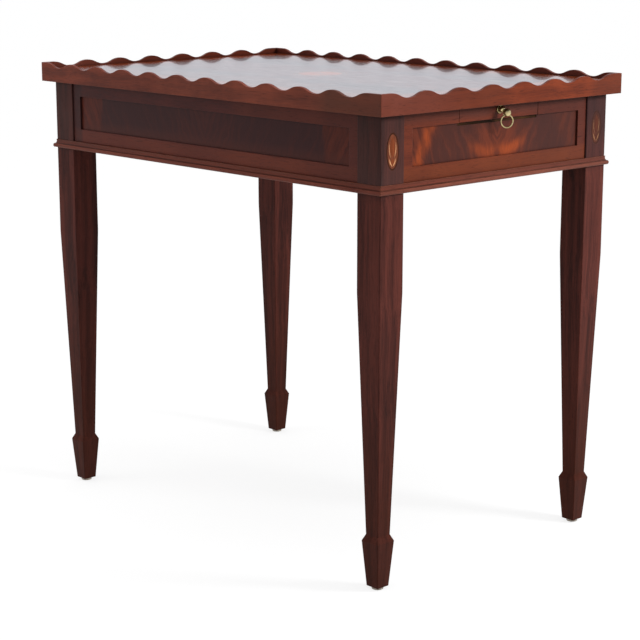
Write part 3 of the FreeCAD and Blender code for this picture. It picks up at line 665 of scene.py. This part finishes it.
def field_feathers(tree, u, v):
    """Broad and fine streak values, from the distances u along the field and v across it."""
    sway = wandering(tree, u, v, 0.0, 0.018, 2.0, FEATHER_SWAY)
    left = minus(tree, 1.0, over(tree, reckon(tree, "MINIMUM", v, FEATHER_TOP), FEATHER_TOP))
    sweep = times(tree, minus(tree, 1.0, times(tree, left, left)), FEATHER_SWEEP)
    streak = plus(tree, minus(tree, u, sweep), sway)
    broad = drawn_streaks(tree, streak, v, BROAD_STREAK, 2.0, 2.0, 0.55)
    fine = drawn_streaks(tree, streak, v, FINE_STREAK, 6.0)
    return broad, fine


# %% [markdown]
# The cloud starts in soft fingers where the feathers end. Its far edge is drawn as a curve over the
# length, through listed points: it dips in the middle, where an eye of flame opens, and again where a red
# finger reaches in.

# %% Field figure: cloud
CLOUD_SPAN = 340.0
CLOUD_RISE = 200.0
CLOUD_RAGGED, CLOUD_SOFT = 16.0, 16.0
TOOTH_BROAD, TOOTH_FINE = 26.0, 22.0
TOOTH_BEFORE, TOOTH_AFTER = 9.0, 13.0
DIP_HALF, DIP_DEPTH = 16.0, 14.0
CLOUD_EDGE = (
    (0.0, 94), (25.0, 95), (50.0, 110), (75.0, 126), (100.0, 133), (121.0, 124),
    (136.0, 100), (154.0, 128), (195.0, 138), (260.0, 140), (340.0, 138),
)


def drawn_curve(tree, value, points):
    """A curve drawn through given points over 0 to 1."""
    node = tree.nodes.new("ShaderNodeFloatCurve")
    curve = node.mapping.curves[0]
    curve.points[0].location = points[0]
    curve.points[1].location = points[-1]
    for point in points[1:-1]:
        curve.points.new(*point)
    node.mapping.update()
    feed(tree, node.inputs["Value"], value)
    return node.outputs["Value"]


def field_cloud(tree, u, v, broad, fine):
    """How far inside the cloud a point lies, and how far outside its far edge."""
    large = spread(tree, broad, -TOOTH_BROAD, TOOTH_BROAD)
    small = spread(tree, fine, -TOOTH_FINE, TOOTH_FINE)
    tooth = plus(tree, plus(tree, large, small), FEATHER_TOP)
    tooth = reckon(tree, "MULTIPLY_ADD", fade(tree, u, DIP_HALF, 0.0), -DIP_DEPTH, tooth)
    inner = fade(tree, v, minus(tree, tooth, TOOTH_BEFORE), plus(tree, tooth, TOOTH_AFTER))
    points = [(along / CLOUD_SPAN, rise / CLOUD_RISE) for along, rise in CLOUD_EDGE]
    edge = times(tree, drawn_curve(tree, over(tree, u, CLOUD_SPAN), points), CLOUD_RISE)
    edge = plus(tree, edge, wandering(tree, u, v, 40.0, 0.05, 3.0, CLOUD_RAGGED))
    outside = fade(tree, v, minus(tree, edge, CLOUD_SOFT), plus(tree, edge, CLOUD_SOFT))
    return times(tree, inner, minus(tree, 1.0, outside)), outside


# %% [markdown]
# Outside the cloud two growth lines arch over the middle of the field like the ribs of a fan, and finer
# ones follow them. An arch is drawn by measuring how far a point lies from an ellipse.

# %% Field figure: arches
ARCH_MIDDLE = 80.0
ARCHES = ((140.0, 96.0, 6.5), (295.0, 116.0, 4.5))
ARCH_CORE = 0.4
ARCH_WAVER = 7.0
ARCH_FROM, ARCH_FULL = 124.0, 146.0
FINE_ARCH, ARCH_STREAK = (230.0, 110.0), (8.0, 120.0)


def distance(tree, x, y):
    return reckon(tree, "SQRT", plus(tree, times(tree, x, x), times(tree, y, y)))


def from_arch(tree, u, v, half_span, rise):
    across = over(tree, u, half_span)
    up = over(tree, minus(tree, v, ARCH_MIDDLE), rise)
    return times(tree, minus(tree, distance(tree, across, up), 1.0), rise)


def field_arches(tree, u, v):
    """The dark arch lines and the value of the finer lines between them."""
    waver = wandering(tree, u, v, 20.0, 0.02, 2.0, ARCH_WAVER)
    lines = 0.0
    for half_span, rise, width in ARCHES:
        away = reckon(tree, "ABSOLUTE", plus(tree, from_arch(tree, u, v, half_span, rise), waver))
        lines = reckon(tree, "MAXIMUM", lines, fade(tree, away, width, ARCH_CORE))
    lines = times(tree, lines, fade(tree, v, ARCH_FROM, ARCH_FULL))
    ring = plus(tree, from_arch(tree, u, v, *FINE_ARCH), waver)
    return lines, drawn_streaks(tree, ring, u, ARCH_STREAK, 9.0)


# %% [markdown]
# In the middle, under the first arch, an eye of flame opens in each half. It is a soft ellipse, and its
# flames lean apart from the middle line and come to points.

# %% Field figure: eye
EYE_RISE, EYE_HALF_SPAN, EYE_HALF_RISE = 126.0, 90.0, 40.0
EYE_LEAN, EYE_RAGGED, EYE_STREAK = 26.0, 0.9, (9.0, 60.0)
EYE_DARK, EYE_FLAME = tone(60, 34, 32), tone(106, 46, 32)


def field_eye(tree, u, v):
    """How far inside the eye a point lies, and the colour of its flames."""
    across = over(tree, u, EYE_HALF_SPAN)
    up = over(tree, minus(tree, v, EYE_RISE), EYE_HALF_RISE)
    lean = minus(tree, u, times(tree, times(tree, up, across), EYE_LEAN))
    flames = drawn_streaks(tree, lean, v, EYE_STREAK, 5.0)
    ragged = minus(tree, distance(tree, across, up), 0.5 * EYE_RAGGED)
    ragged = reckon(tree, "MULTIPLY_ADD", flames, EYE_RAGGED, ragged)
    colour = blend(tree, fade(tree, flames, 0.34, 0.62), EYE_DARK, EYE_FLAME)
    return fade(tree, ragged, 1.05, 0.70), colour


# %% Field veneer
FEATHER_DARK, FEATHER_WARM = tone(57, 32, 32), tone(94, 39, 29)
FEATHER_BRIGHT, FEATHER_SHADE = tone(112, 46, 30), tone(50, 30, 31)
ARCH_DARK, ARCH_WARM, ARCH_LINE = tone(74, 39, 33), tone(96, 48, 33), tone(48, 32, 34)
CLOUD_GREY, FIELD_PORE = tone(46, 31, 33), tone(28, 17, 15)


def field_crotch():
    finish, tree, skin = new_finish("field_crotch_veneer")
    place = place_of(tree)
    x, y, _ = split(tree, place)
    u = times(tree, reckon(tree, "ABSOLUTE", x), MILLIMETRES)
    v = times(tree, reckon(tree, "ABSOLUTE", y), MILLIMETRES)
    broad, fine = field_feathers(tree, u, v)
    cloud, outside = field_cloud(tree, u, v, broad, fine)
    lines, between = field_arches(tree, u, v)
    wood = place_group(tree, grain_group, Place=place, Grain=ALONG_X, Ribbon=60.0, Seed=9.4)

    feathers = blend(tree, fade(tree, broad, 0.30, 0.64), FEATHER_DARK, FEATHER_WARM)
    feathers = blend(tree, times(tree, fade(tree, fine, 0.50, 0.70), 0.45), feathers, FEATHER_BRIGHT)
    feathers = blend(tree, times(tree, fade(tree, fine, 0.49, 0.32), 0.50), feathers, FEATHER_SHADE)
    arched = blend(tree, fade(tree, between, 0.30, 0.70), ARCH_DARK, ARCH_WARM)
    arched = blend(tree, times(tree, lines, 0.55), arched, ARCH_LINE)
    colour = blend(tree, outside, feathers, arched)
    eye, flame_tone = field_eye(tree, u, v)
    colour = blend(tree, times(tree, eye, 0.75), colour, flame_tone)
    grey = times(tree, cloud, spread(tree, fade(tree, fine, 0.46, 0.72), 0.96, 0.62))
    colour = blend(tree, grey, colour, CLOUD_GREY)
    colour = blend(tree, times(tree, wood["Pores"], 0.22), colour, FIELD_PORE)
    polish_tray(tree, skin, colour, wood["Fibre"])
    return finish


lay(field_crotch(), *("field_leaf_" + corner for corner in CORNERS))

# %% [markdown]
# ## Crossband
# Round the field runs a band of straight-grained leaves laid across its width. Every leaf has its own
# tone, and two narrow pale strips fill a gap. A colour ramp with hard steps holds the leaves' tones, with
# the steps where the solid model has its joints.

# %% Crossband
LONG_JOINTS = (0.0, 0.118, 0.297, 0.310, 0.550, 0.673, 0.750)
SHORT_JOINTS = (0.0, 0.446, 0.460, 0.620)
LONG_HALF, SHORT_HALF = 0.375, 0.244
BAND_RIBBON, BAND_FIBRE, BAND_PORE = tone(80, 31, 10), tone(178, 80, 18), tone(40, 17, 8)


def stepped(tree, share, joints, tones):
    node = tree.nodes.new("ShaderNodeValToRGB")
    ramp = node.color_ramp
    ramp.interpolation = "CONSTANT"
    while len(ramp.elements) < len(joints):
        ramp.elements.new(1.0)
    for element, joint, leaf in zip(ramp.elements, joints, tones):
        element.position = joint
        element.color = tone(*leaf)
    feed(tree, node.inputs["Fac"], share)
    return node.outputs["Color"]


def crossband(side, tones):
    long_side = side in ("front", "back")
    finish, tree, skin = new_finish("crossband_" + side + "_veneer")
    place = place_of(tree)
    x, y, _ = split(tree, place)
    run, half = (x, LONG_HALF) if long_side else (y, SHORT_HALF)
    share = reckon(tree, "MULTIPLY_ADD", run, 0.5 / half, 0.5)
    grain = ALONG_Y if long_side else ALONG_X
    wood = place_group(tree, grain_group, Place=place, Grain=grain, Ribbon=70.0, Seed=10.0 + len(side))
    leaf = stepped(tree, share, LONG_JOINTS if long_side else SHORT_JOINTS, tones)
    colour = blend(tree, spread(tree, wood["Ribbon"], 0.55, 0.0), leaf, BAND_RIBBON)
    colour = blend(tree, times(tree, wood["Fibre"], 0.16), colour, BAND_FIBRE)
    colour = blend(tree, times(tree, wood["Pores"], 0.35), colour, BAND_PORE)
    polish_tray(tree, skin, colour, wood["Fibre"])
    return finish


FRONT_LEAVES = (
    (124, 50, 14), (103, 43, 19), (176, 84, 28), (135, 54, 14), (97, 40, 20), (141, 57, 13), (118, 48, 16),
)
BACK_LEAVES = (
    (132, 55, 20), (122, 52, 22), (114, 51, 26), (134, 58, 22), (108, 50, 28), (146, 66, 26), (132, 59, 26),
)
RIGHT_LEAVES = ((130, 55, 16), (174, 84, 28), (96, 41, 19), (140, 61, 21))
LEFT_LEAVES = ((138, 56, 13), (186, 88, 28), (100, 42, 21), (142, 58, 17))
BAND_LEAVES = {"front": FRONT_LEAVES, "back": BACK_LEAVES, "right": RIGHT_LEAVES, "left": LEFT_LEAVES}
for side, leaves in BAND_LEAVES.items():
    lay(crossband(side, leaves), "crossband_" + side)

# %% [markdown]
# ## Stringing
# Two pale boxwood lines with a brown band between them part the field from the crossband. They are so
# narrow that only a little fibre shows, but without it they would look painted.

# %% Stringing
LINE_PORE = tone(60, 34, 18)


def line_wood(name, dark, light, seed):
    finish, tree, skin = new_finish(name)
    wood = place_group(tree, grain_group, Place=place_of(tree), Grain=ALONG_X, Ribbon=80.0, Seed=seed)
    figure = reckon(tree, "MULTIPLY_ADD", wood["Mottle"], 0.5, times(tree, wood["Fibre"], 0.5))
    colour = blend(tree, figure, tone(*dark), tone(*light))
    colour = blend(tree, times(tree, wood["Pores"], 0.3), colour, LINE_PORE)
    polish_tray(tree, skin, colour, wood["Fibre"])
    return finish


boxwood = line_wood("boxwood", (124, 74, 30), (164, 104, 48), 12.0)
lay(boxwood, "field_string_outer", "field_string_inner", "patera_ring")
lay(line_wood("brown_band", (84, 37, 12), (112, 52, 18), 13.0), "field_band")
lay(line_wood("dark_inlay", (34, 22, 16), (58, 40, 25), 14.0), "patera_ground", "patera_eye")

# %% [markdown]
# ## The patera
# The round inlay in the middle has sixteen satinwood petals. Inlayers dip one edge of each petal in hot
# sand, which scorches it brown and makes the flat fan look fluted. In polar terms a petal is one step of the
# angle, so the scorch follows the place within that step, and grain follows the radius.

# %% Patera petals
PETALS = 16
PETAL_TIP = 34.8
PETAL_HOLLOW = 2.6
PETAL_DEEP, PETAL_PALE, PETAL_STREAK = tone(164, 67, 13), tone(194, 89, 20), tone(144, 54, 9)
PETAL_SCORCH, PETAL_JOINT, PETAL_RIM = tone(94, 34, 8), tone(50, 21, 9), tone(220, 140, 76)


def petal_place(tree, x, y):
    """Distance from the middle in millimetres, and the angle counted in petals."""
    radius = times(tree, distance(tree, x, y), MILLIMETRES)
    turn = times(tree, reckon(tree, "ARCTAN2", y, x), PETALS / (2 * math.pi))
    return radius, turn


def sanded_petals():
    finish, tree, skin = new_finish("sanded_satinwood")
    x, y, _ = split(tree, place_of(tree))
    radius, turn = petal_place(tree, x, y)
    step = reckon(tree, "FLOOR", turn)
    within = reckon(tree, "FRACT", turn)
    streaks = noise(tree, join(tree, times(tree, turn, 9.0), times(tree, radius, 0.05), 3.0), 1.0, 2.0)
    own = noise(tree, join(tree, step, 0.5, 0.5), 7.3, 0.0)
    colour = blend(tree, fade(tree, own, 0.3, 0.7), PETAL_DEEP, PETAL_PALE)
    colour = blend(tree, times(tree, fade(tree, streaks, 0.5, 0.8), 0.45), colour, PETAL_STREAK)
    scorch = times(tree, fade(tree, within, 0.42, 0.0), fade(tree, radius, 42.0, 6.0))
    colour = blend(tree, times(tree, scorch, 0.8), colour, PETAL_SCORCH)
    near_side = reckon(tree, "MINIMUM", within, minus(tree, 1.0, within))
    gap = times(tree, times(tree, near_side, radius), 2 * math.pi / PETALS)
    colour = blend(tree, times(tree, fade(tree, gap, 0.65, 0.25), 0.85), colour, PETAL_JOINT)
    bow = minus(tree, times(tree, within, 2.0), 1.0)
    hollow = minus(tree, 1.0, times(tree, bow, bow))
    end = reckon(tree, "MULTIPLY_ADD", hollow, -PETAL_HOLLOW, PETAL_TIP)
    from_end = minus(tree, end, radius)
    colour = blend(tree, times(tree, fade(tree, from_end, 1.5, 0.5), 0.6), colour, PETAL_RIM)
    polish_tray(tree, skin, colour, streaks)
    return finish


lay(sanded_petals(), "patera_petals")

# %% [markdown]
# ## Frieze panels
# The friezes carry smaller pieces of crotch veneer, opened like a book about the middle of each side.
# On the long sides each half is a plain dark block that stops short of the posts, where the veneer is
# redder. On the ends two warm wings spread from the foot of the middle joint. A slanting flame stands by
# the front post, with only a trace of it at the back post, where the outer part is darker as painted shade.
# Painted shade also darkens the top of the middle, under the slide. Shares of the half length and of the
# height place all of it.

# %% Frieze places
PANEL_FOOT, PANEL_TALL = 0.589, 0.0515
LONG_PANEL_HALF, SHORT_PANEL_HALF = 0.304, 0.173
PANEL_PORE, PANEL_GRIME_SHADE = tone(26, 15, 13), tone(22, 14, 14)
VENEER_ROUGH = (0.30, 0.40)


def panel_place(tree, run, half, height, seed):
    """Shares out from the middle and up from the foot, a wandering value and a slanting streak value."""
    out = over(tree, reckon(tree, "ABSOLUTE", run), half)
    up = over(tree, minus(tree, height, PANEL_FOOT), PANEL_TALL)
    wander = noise(tree, join(tree, times(tree, out, half * 26.0), times(tree, up, 1.1), seed), 1.0, 3.0)
    wander = minus(tree, wander, 0.5)
    slant = plus(tree, times(tree, out, half * 110.0), times(tree, up, -2.6))
    slant = reckon(tree, "MULTIPLY_ADD", wander, 4.0, slant)
    feather = noise(tree, join(tree, slant, times(tree, up, 0.6), seed + 4.0), 1.0, 3.0, 0.6)
    return out, up, wander, feather


def panel_skin(tree, skin, place, colour, seed):
    wood = place_group(tree, grain_group, Place=place, Grain=ALONG_Z, Ribbon=70.0, Seed=seed)
    grime_and_shade = place_group(tree, shade_grime_group, Place=place)["GrimeAndShade"]
    colour = blend(tree, times(tree, wood["Pores"], 0.3), colour, PANEL_PORE)
    # Grime and painted shade darken the panel in the corners of its recess.
    colour = blend(tree, times(tree, grime_and_shade, 0.6), colour, PANEL_GRIME_SHADE)
    dress_skin(tree, skin, colour, wood["Fibre"], VENEER_ROUGH)
    satin(skin)


# %% Long friezes
LONG_VENEER_DARK, LONG_VENEER_RED = tone(76, 35, 29), tone(98, 45, 34)
BLOCK_TONE, BLOCK_MIDDLE, BLOCK_FOOT = tone(61, 33, 33), tone(80, 39, 34), tone(88, 46, 38)


def long_frieze():
    finish, tree, skin = new_finish("frieze_crotch_long")
    place = place_of(tree)
    x, _, z = split(tree, place)
    out, up, wander, feather = panel_place(tree, x, LONG_PANEL_HALF, z, 2.0)
    colour = blend(tree, fade(tree, feather, 0.35, 0.65), LONG_VENEER_DARK, LONG_VENEER_RED)
    edge = reckon(tree, "MULTIPLY_ADD", wander, 0.05, out)
    block = fade(tree, edge, 0.845, 0.815)
    core = times(tree, block, spread(tree, fade(tree, feather, 0.45, 0.75), 0.96, 0.72))
    colour = blend(tree, core, colour, BLOCK_TONE)
    middle = times(tree, fade(tree, edge, 0.34, 0.08), fade(tree, feather, 0.30, 0.56))
    colour = blend(tree, times(tree, middle, 0.6), colour, BLOCK_MIDDLE)
    foot = times(tree, fade(tree, up, 0.40, 0.0), 0.55)
    colour = blend(tree, foot, colour, BLOCK_FOOT)
    panel_skin(tree, skin, place, colour, 24.0)
    return finish


lay(long_frieze(), "frieze_panel_front", "frieze_panel_back")


# %% End friezes
FLAME_FOOT, FLAME_LEAN, FLAME_HALF = 0.93, -0.14, 0.08
WING_REACH = 0.37
END_VENEER_DARK, END_VENEER_RED = tone(84, 41, 31), tone(114, 54, 37)
END_SHADE, END_WARM = tone(76, 42, 36), tone(156, 71, 37)
END_FAR_SHADE, END_HEAD_SHADE = tone(66, 38, 34), tone(60, 37, 34)


def end_flame(tree, out, up, wander):
    line = plus(tree, times(tree, up, FLAME_LEAN), FLAME_FOOT)
    away = reckon(tree, "ABSOLUTE", minus(tree, reckon(tree, "MULTIPLY_ADD", wander, 0.10, out), line))
    return fade(tree, away, FLAME_HALF * 1.2, FLAME_HALF * 0.05)


def end_wings(tree, out, up, wander):
    """A crescent that starts low by the middle joint and lifts its tip outwards."""
    along = over(tree, reckon(tree, "MULTIPLY_ADD", wander, 0.16, out), WING_REACH)
    spine = reckon(tree, "MULTIPLY_ADD", times(tree, along, along), 0.32, 0.14)
    half = reckon(tree, "MULTIPLY_ADD", along, -0.11, 0.40)
    away = reckon(tree, "ABSOLUTE", minus(tree, reckon(tree, "MULTIPLY_ADD", wander, 0.7, up), spine))
    wing = fade(tree, away, half, 0.0)
    ends = times(tree, fade(tree, along, 1.08, 0.62), fade(tree, along, 0.0, 0.10))
    return times(tree, wing, ends)


def end_frieze():
    finish, tree, skin = new_finish("frieze_crotch_short")
    place = place_of(tree)
    _, y, z = split(tree, place)
    out, up, wander, feather = panel_place(tree, y, SHORT_PANEL_HALF, z, 11.0)
    colour = blend(tree, fade(tree, feather, 0.32, 0.68), END_VENEER_DARK, END_VENEER_RED)
    loose = reckon(tree, "MULTIPLY_ADD", wander, 0.30, out)
    leaning = plus(tree, loose, times(tree, up, 0.12))
    dark = times(tree, fade(tree, loose, 0.14, 0.42), fade(tree, leaning, 0.92, 0.76))
    dark = times(tree, dark, spread(tree, fade(tree, feather, 0.42, 0.72), 0.92, 0.55))
    colour = blend(tree, dark, colour, END_SHADE)
    near_half = spread(tree, fade(tree, y, 0.02, -0.02), 0.15, 1.0)
    flame = times(tree, end_flame(tree, out, up, wander), near_half)
    far_half = spread(tree, fade(tree, y, -0.01, 0.01), 0.75, 1.15)
    wings = times(tree, end_wings(tree, out, up, wander), far_half)
    warm = reckon(tree, "MAXIMUM", flame, wings)
    warm = times(tree, warm, spread(tree, fade(tree, feather, 0.30, 0.62), 0.40, 1.0))
    colour = blend(tree, times(tree, warm, 0.95), colour, END_WARM)
    # Painted shade darkens the outer part of the far half.
    far_shade = times(tree, fade(tree, loose, 0.46, 0.56), fade(tree, y, -0.01, 0.01))
    colour = blend(tree, times(tree, far_shade, 0.65), colour, END_FAR_SHADE)
    # Painted shade darkens the top of the middle, under the slide.
    head_shade = times(tree, fade(tree, up, 0.60, 0.95), fade(tree, out, 0.52, 0.44))
    colour = blend(tree, times(tree, head_shade, 0.45), colour, END_HEAD_SHADE)
    panel_skin(tree, skin, place, colour, 25.0)
    return finish


lay(end_frieze(), "frieze_panel_left", "frieze_panel_right")

# %% [markdown]
# ## Oval inlays
# Each post has an upright oval on its end face, with a dark rim, a satinwood ground and a husk of leaves.
# The solid model has the centre leaf and the bud. The two pale side leaves and the split husk below are thin
# slips of boxwood, so they are drawn here as outlines from two bowed edges and given their thickness.

# %% Oval grounds and leaves
# The ovals on the far posts are darker as painted shade.
FAR_OVAL_SHADE = ("y", 0.10, 0.18, 0.90, (56, 32, 28))
OVAL_PORE = tone(60, 30, 14)


def satin_ground(name, dark, light, seed):
    finish, tree, skin = new_finish(name)
    place = place_of(tree)
    wood = place_group(tree, grain_group, Place=place, Grain=ALONG_Z, Ribbon=220.0, Seed=seed)
    figure = reckon(tree, "MULTIPLY_ADD", wood["Ribbon"], 0.6, times(tree, wood["Fibre"], 0.4))
    colour = blend(tree, figure, tone(*dark), tone(*light))
    colour = take_over(tree, place, wood["Mottle"], colour, (FAR_OVAL_SHADE,))
    colour = blend(tree, times(tree, wood["Pores"], 0.4), colour, OVAL_PORE)
    dress_skin(tree, skin, colour, wood["Fibre"], VENEER_ROUGH)
    satin(skin)
    return finish


lay(satin_ground("oval_satinwood", (106, 55, 36), (136, 74, 50), 15.0), "oval_grounds")
lay(satin_ground("oval_leaf_wood", (112, 52, 28), (142, 72, 40), 16.0), "oval_motifs")
lay(satin_ground("oval_rim_wood", (54, 25, 13), (74, 36, 19), 17.0), "oval_rims")
oval_slip_wood = satin_ground("oval_slip_boxwood", (196, 132, 88), (228, 170, 122), 18.0)


# %% Oval slips
def add_piece(name, work, finish):
    """Makes an object of a bmesh and gives it a finish."""
    bmesh.ops.recalc_face_normals(work, faces=work.faces)
    mesh = bpy.data.meshes.new(name)
    work.to_mesh(mesh)
    work.free()
    mesh.materials.append(finish)
    piece = bpy.data.objects.new(name, mesh)
    scene.collection.objects.link(piece)
    print(name, "has", len(mesh.polygons), "faces")
    return piece


OVAL_FACE, OVAL_SIDE, OVAL_MIDDLE = 0.366, 0.213, 0.613
SLIP_PROUD, SLIP_SUNK = 0.00008, 0.0003
SLIP_STEPS = 12
SIDE_LEAF = ((0.0032, -0.0085), (0.0088, 0.0010), (0.0056, 0.0130), (0.0063, 0.0010))
HUSK_LEAF = ((0.0002, -0.0200), (0.0068, -0.0160), (0.0062, -0.0085), (0.0030, -0.0150))


def bowed(start, through, end):
    """Points on a bowed line from start to end, pulled towards a third point."""
    line = []
    for step in range(SLIP_STEPS + 1):
        t = step / SLIP_STEPS
        shares = ((1 - t) ** 2, 2 * t * (1 - t), t**2)
        line.append([shares[0] * a + shares[1] * b + shares[2] * c for a, b, c in zip(start, through, end)])
    return line


def add_slip(mesh, outline, sx, sy):
    foot, outer, tip, inner = outline
    for hand in (-1, 1):
        rim = bowed(foot, outer, tip) + bowed(tip, inner, foot)[1:-1]
        flat = [(OVAL_SIDE * sy + hand * across, OVAL_MIDDLE + up) for across, up in rim]
        front = [mesh.verts.new((sx * (OVAL_FACE + SLIP_PROUD), y, z)) for y, z in flat]
        back = [mesh.verts.new((sx * (OVAL_FACE - SLIP_SUNK), y, z)) for y, z in flat]
        mesh.faces.new(front)
        mesh.faces.new(back)
        for one in range(len(front)):
            two = (one + 1) % len(front)
            mesh.faces.new((front[one], front[two], back[two], back[one]))


slips = bmesh.new()
for sx in (-1, 1):
    for sy in (-1, 1):
        add_slip(slips, SIDE_LEAF, sx, sy)
        add_slip(slips, HUSK_LEAF, sx, sy)
oval_slips = add_piece("oval_slips", slips, oval_slip_wood)
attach(oval_slips, "table")

# %% [markdown]
# ## Brass
# The pull has been handled for decades: the high spots are bright, the hollows brown, and the whole has
# a soft bloom. Patches of tarnish change both the colour and how sharp the reflections are.

# %% Aged brass
BRASS_BRIGHT, BRASS_TARNISH = tone(206, 190, 140), tone(98, 78, 48)
BRASS_ROUGH = (0.20, 0.46)
BRASS_GRIME_REACH = 0.002
METAL_RELIEF = 0.00003


def aged_brass():
    finish, tree, skin = new_finish("aged_brass")
    place = place_of(tree)
    cloud = fade(tree, noise(tree, place, 260.0, 4.0, 0.6), 0.35, 0.70)
    grime_and_shade = place_group(tree, shade_grime_group, Place=place, Reach=BRASS_GRIME_REACH)["GrimeAndShade"]
    tarnish = reckon(tree, "MAXIMUM", times(tree, cloud, 0.55), grime_and_shade)
    dress_skin(tree, skin, blend(tree, tarnish, BRASS_BRIGHT, BRASS_TARNISH), tarnish, BRASS_ROUGH)
    skin.inputs["Metallic"].default_value = 1.0
    raise_bump(tree, skin, noise(tree, place, 900.0, 2.0), METAL_RELIEF)
    return finish


brass = aged_brass()
lay(brass, "pull_post_right", "pull_post_left", "pull_ring_right", "pull_ring_left")

# %% [markdown]
# The turned rose behind the boss has a bead round its rim. A bead is turned work: a small circle spun
# about the post's own line, which bmesh does with its spin operator.

# %% Turned beads
PULL_HEIGHT = 0.6541
ROSE_FACE = 0.3647
BEAD_RADIUS, BEAD_WIRE = 0.0053, 0.0006
BEAD_STEPS = 12
TURNS = 48
WELD_REACH = 0.000004

for hand, side in ((1, "right"), (-1, "left")):
    work = bmesh.new()
    ring = []
    for step in range(BEAD_STEPS + 1):
        angle = 2 * math.pi * step / BEAD_STEPS
        out = ROSE_FACE + BEAD_WIRE * math.cos(angle)
        up = PULL_HEIGHT + BEAD_RADIUS + BEAD_WIRE * math.sin(angle)
        ring.append(work.verts.new((hand * out, 0.0, up)))
    edges = [work.edges.new(pair) for pair in zip(ring, ring[1:])]
    centre = (0.0, 0.0, PULL_HEIGHT)
    bmesh.ops.spin(work, geom=ring + edges, cent=centre, axis=ALONG_X, angle=2 * math.pi, steps=TURNS)
    bmesh.ops.remove_doubles(work, verts=work.verts, dist=WELD_REACH)
    bead = add_piece("pull_bead_" + side, work, brass)
    for face in bead.data.polygons:
        face.use_smooth = True
    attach(bead, "slide_" + side)

# %% [markdown]
# ## Hidden wood, screws and glides
# Under the top and inside the frame the maker used a plain pale wood and left it unpolished, toned brown by
# age. It shows from below and behind a pulled slide, so it gets broad growth bands and a dry surface.
# The end boards are painted near black outside, a painted shade for the deep gap under the slide where they
# show.

# %% Secondary wood
PLAIN_DARK, PLAIN_PALE = tone(116, 78, 48), tone(160, 116, 76)
PLAIN_PATCH, PLAIN_GRIME_SHADE = tone(104, 70, 46), tone(34, 23, 17)
DRY_ROUGH, DRY_RELIEF = (0.62, 0.82), 0.00012


def plain_wood(name, grain, seed, changes=()):
    finish, tree, skin = new_finish(name)
    place = place_of(tree)
    wood = place_group(tree, grain_group, Place=place, Grain=grain, Ribbon=70.0, Seed=seed)
    grime_and_shade = place_group(tree, shade_grime_group, Place=place)["GrimeAndShade"]
    figure = reckon(tree, "MULTIPLY_ADD", wood["Ribbon"], 0.6, times(tree, wood["Fibre"], 0.4))
    colour = blend(tree, figure, PLAIN_DARK, PLAIN_PALE)
    colour = blend(tree, times(tree, wood["Mottle"], 0.35), colour, PLAIN_PATCH)
    colour = take_over(tree, place, wood["Mottle"], colour, changes)
    # Grime and painted shade darken the hidden wood in its corners and hemmed-in places.
    colour = blend(tree, times(tree, grime_and_shade, 0.9), colour, PLAIN_GRIME_SHADE)
    dress_skin(tree, skin, colour, wood["Fibre"], DRY_ROUGH)
    satin(skin)
    raise_bump(tree, skin, wood["Fibre"], DRY_RELIEF)
    return finish


# Near black on the end boards' outer faces: painted shade in the gap under the slide.
OUTER_GAP_SHADE = ("off_x", 0.3580, 0.3590, 1.0, (9, 5, 4))
plain_long = plain_wood("plain_wood_long", ALONG_X, 21.0)
plain_short = plain_wood("plain_wood_short", ALONG_Y, 22.0, (OUTER_GAP_SHADE,))
plain_upright = plain_wood("plain_wood_upright", ALONG_Z, 23.0)
lay(plain_long, "top_core", "apron_front", "apron_back", "slide_runner_front", "slide_runner_back")
lay(plain_short, "apron_left", "apron_right")
lay(plain_upright, "corner_blocks", "slide_stop_pins_right", "slide_stop_pins_left")

# %% [markdown]
# The screws are dull steel with a driver's rub marks, and the glides under the feet are pale plastic,
# scuffed by the floor.

# %% Screws and glides
STEEL_GREY, STEEL_RUST = tone(150, 148, 144), tone(96, 74, 58)
GLIDE_PALE, GLIDE_SCUFF = tone(212, 198, 182), tone(172, 154, 136)
STEEL_ROUGH, GLIDE_ROUGH = (0.30, 0.60), (0.40, 0.65)
GLIDE_RELIEF = 0.00004


def dull_steel():
    finish, tree, skin = new_finish("dull_steel")
    place = place_of(tree)
    scratch = noise(tree, place, 1200.0, 4.0, 0.7)
    rust = fade(tree, noise(tree, place, 300.0, 3.0), 0.55, 0.75)
    dress_skin(tree, skin, blend(tree, rust, STEEL_GREY, STEEL_RUST), scratch, STEEL_ROUGH)
    skin.inputs["Metallic"].default_value = 1.0
    raise_bump(tree, skin, scratch, METAL_RELIEF)
    return finish


def scuffed_glide():
    finish, tree, skin = new_finish("scuffed_glide")
    place = place_of(tree)
    scuff = fade(tree, noise(tree, place, 420.0, 4.0, 0.65), 0.45, 0.70)
    dress_skin(tree, skin, blend(tree, scuff, GLIDE_PALE, GLIDE_SCUFF), scuff, GLIDE_ROUGH)
    raise_bump(tree, skin, scuff, GLIDE_RELIEF)
    return finish


lay(dull_steel(), "corner_block_screws", "top_screws", "runner_screws")
lay(scuffed_glide(), "foot_glides")

# %% Parts without a finish
unlaid = []
for name, part in table_parts.items():
    if not all(slot.material.use_nodes for slot in part.material_slots):
        unlaid.append(name)
print("parts without a finish:", unlaid)
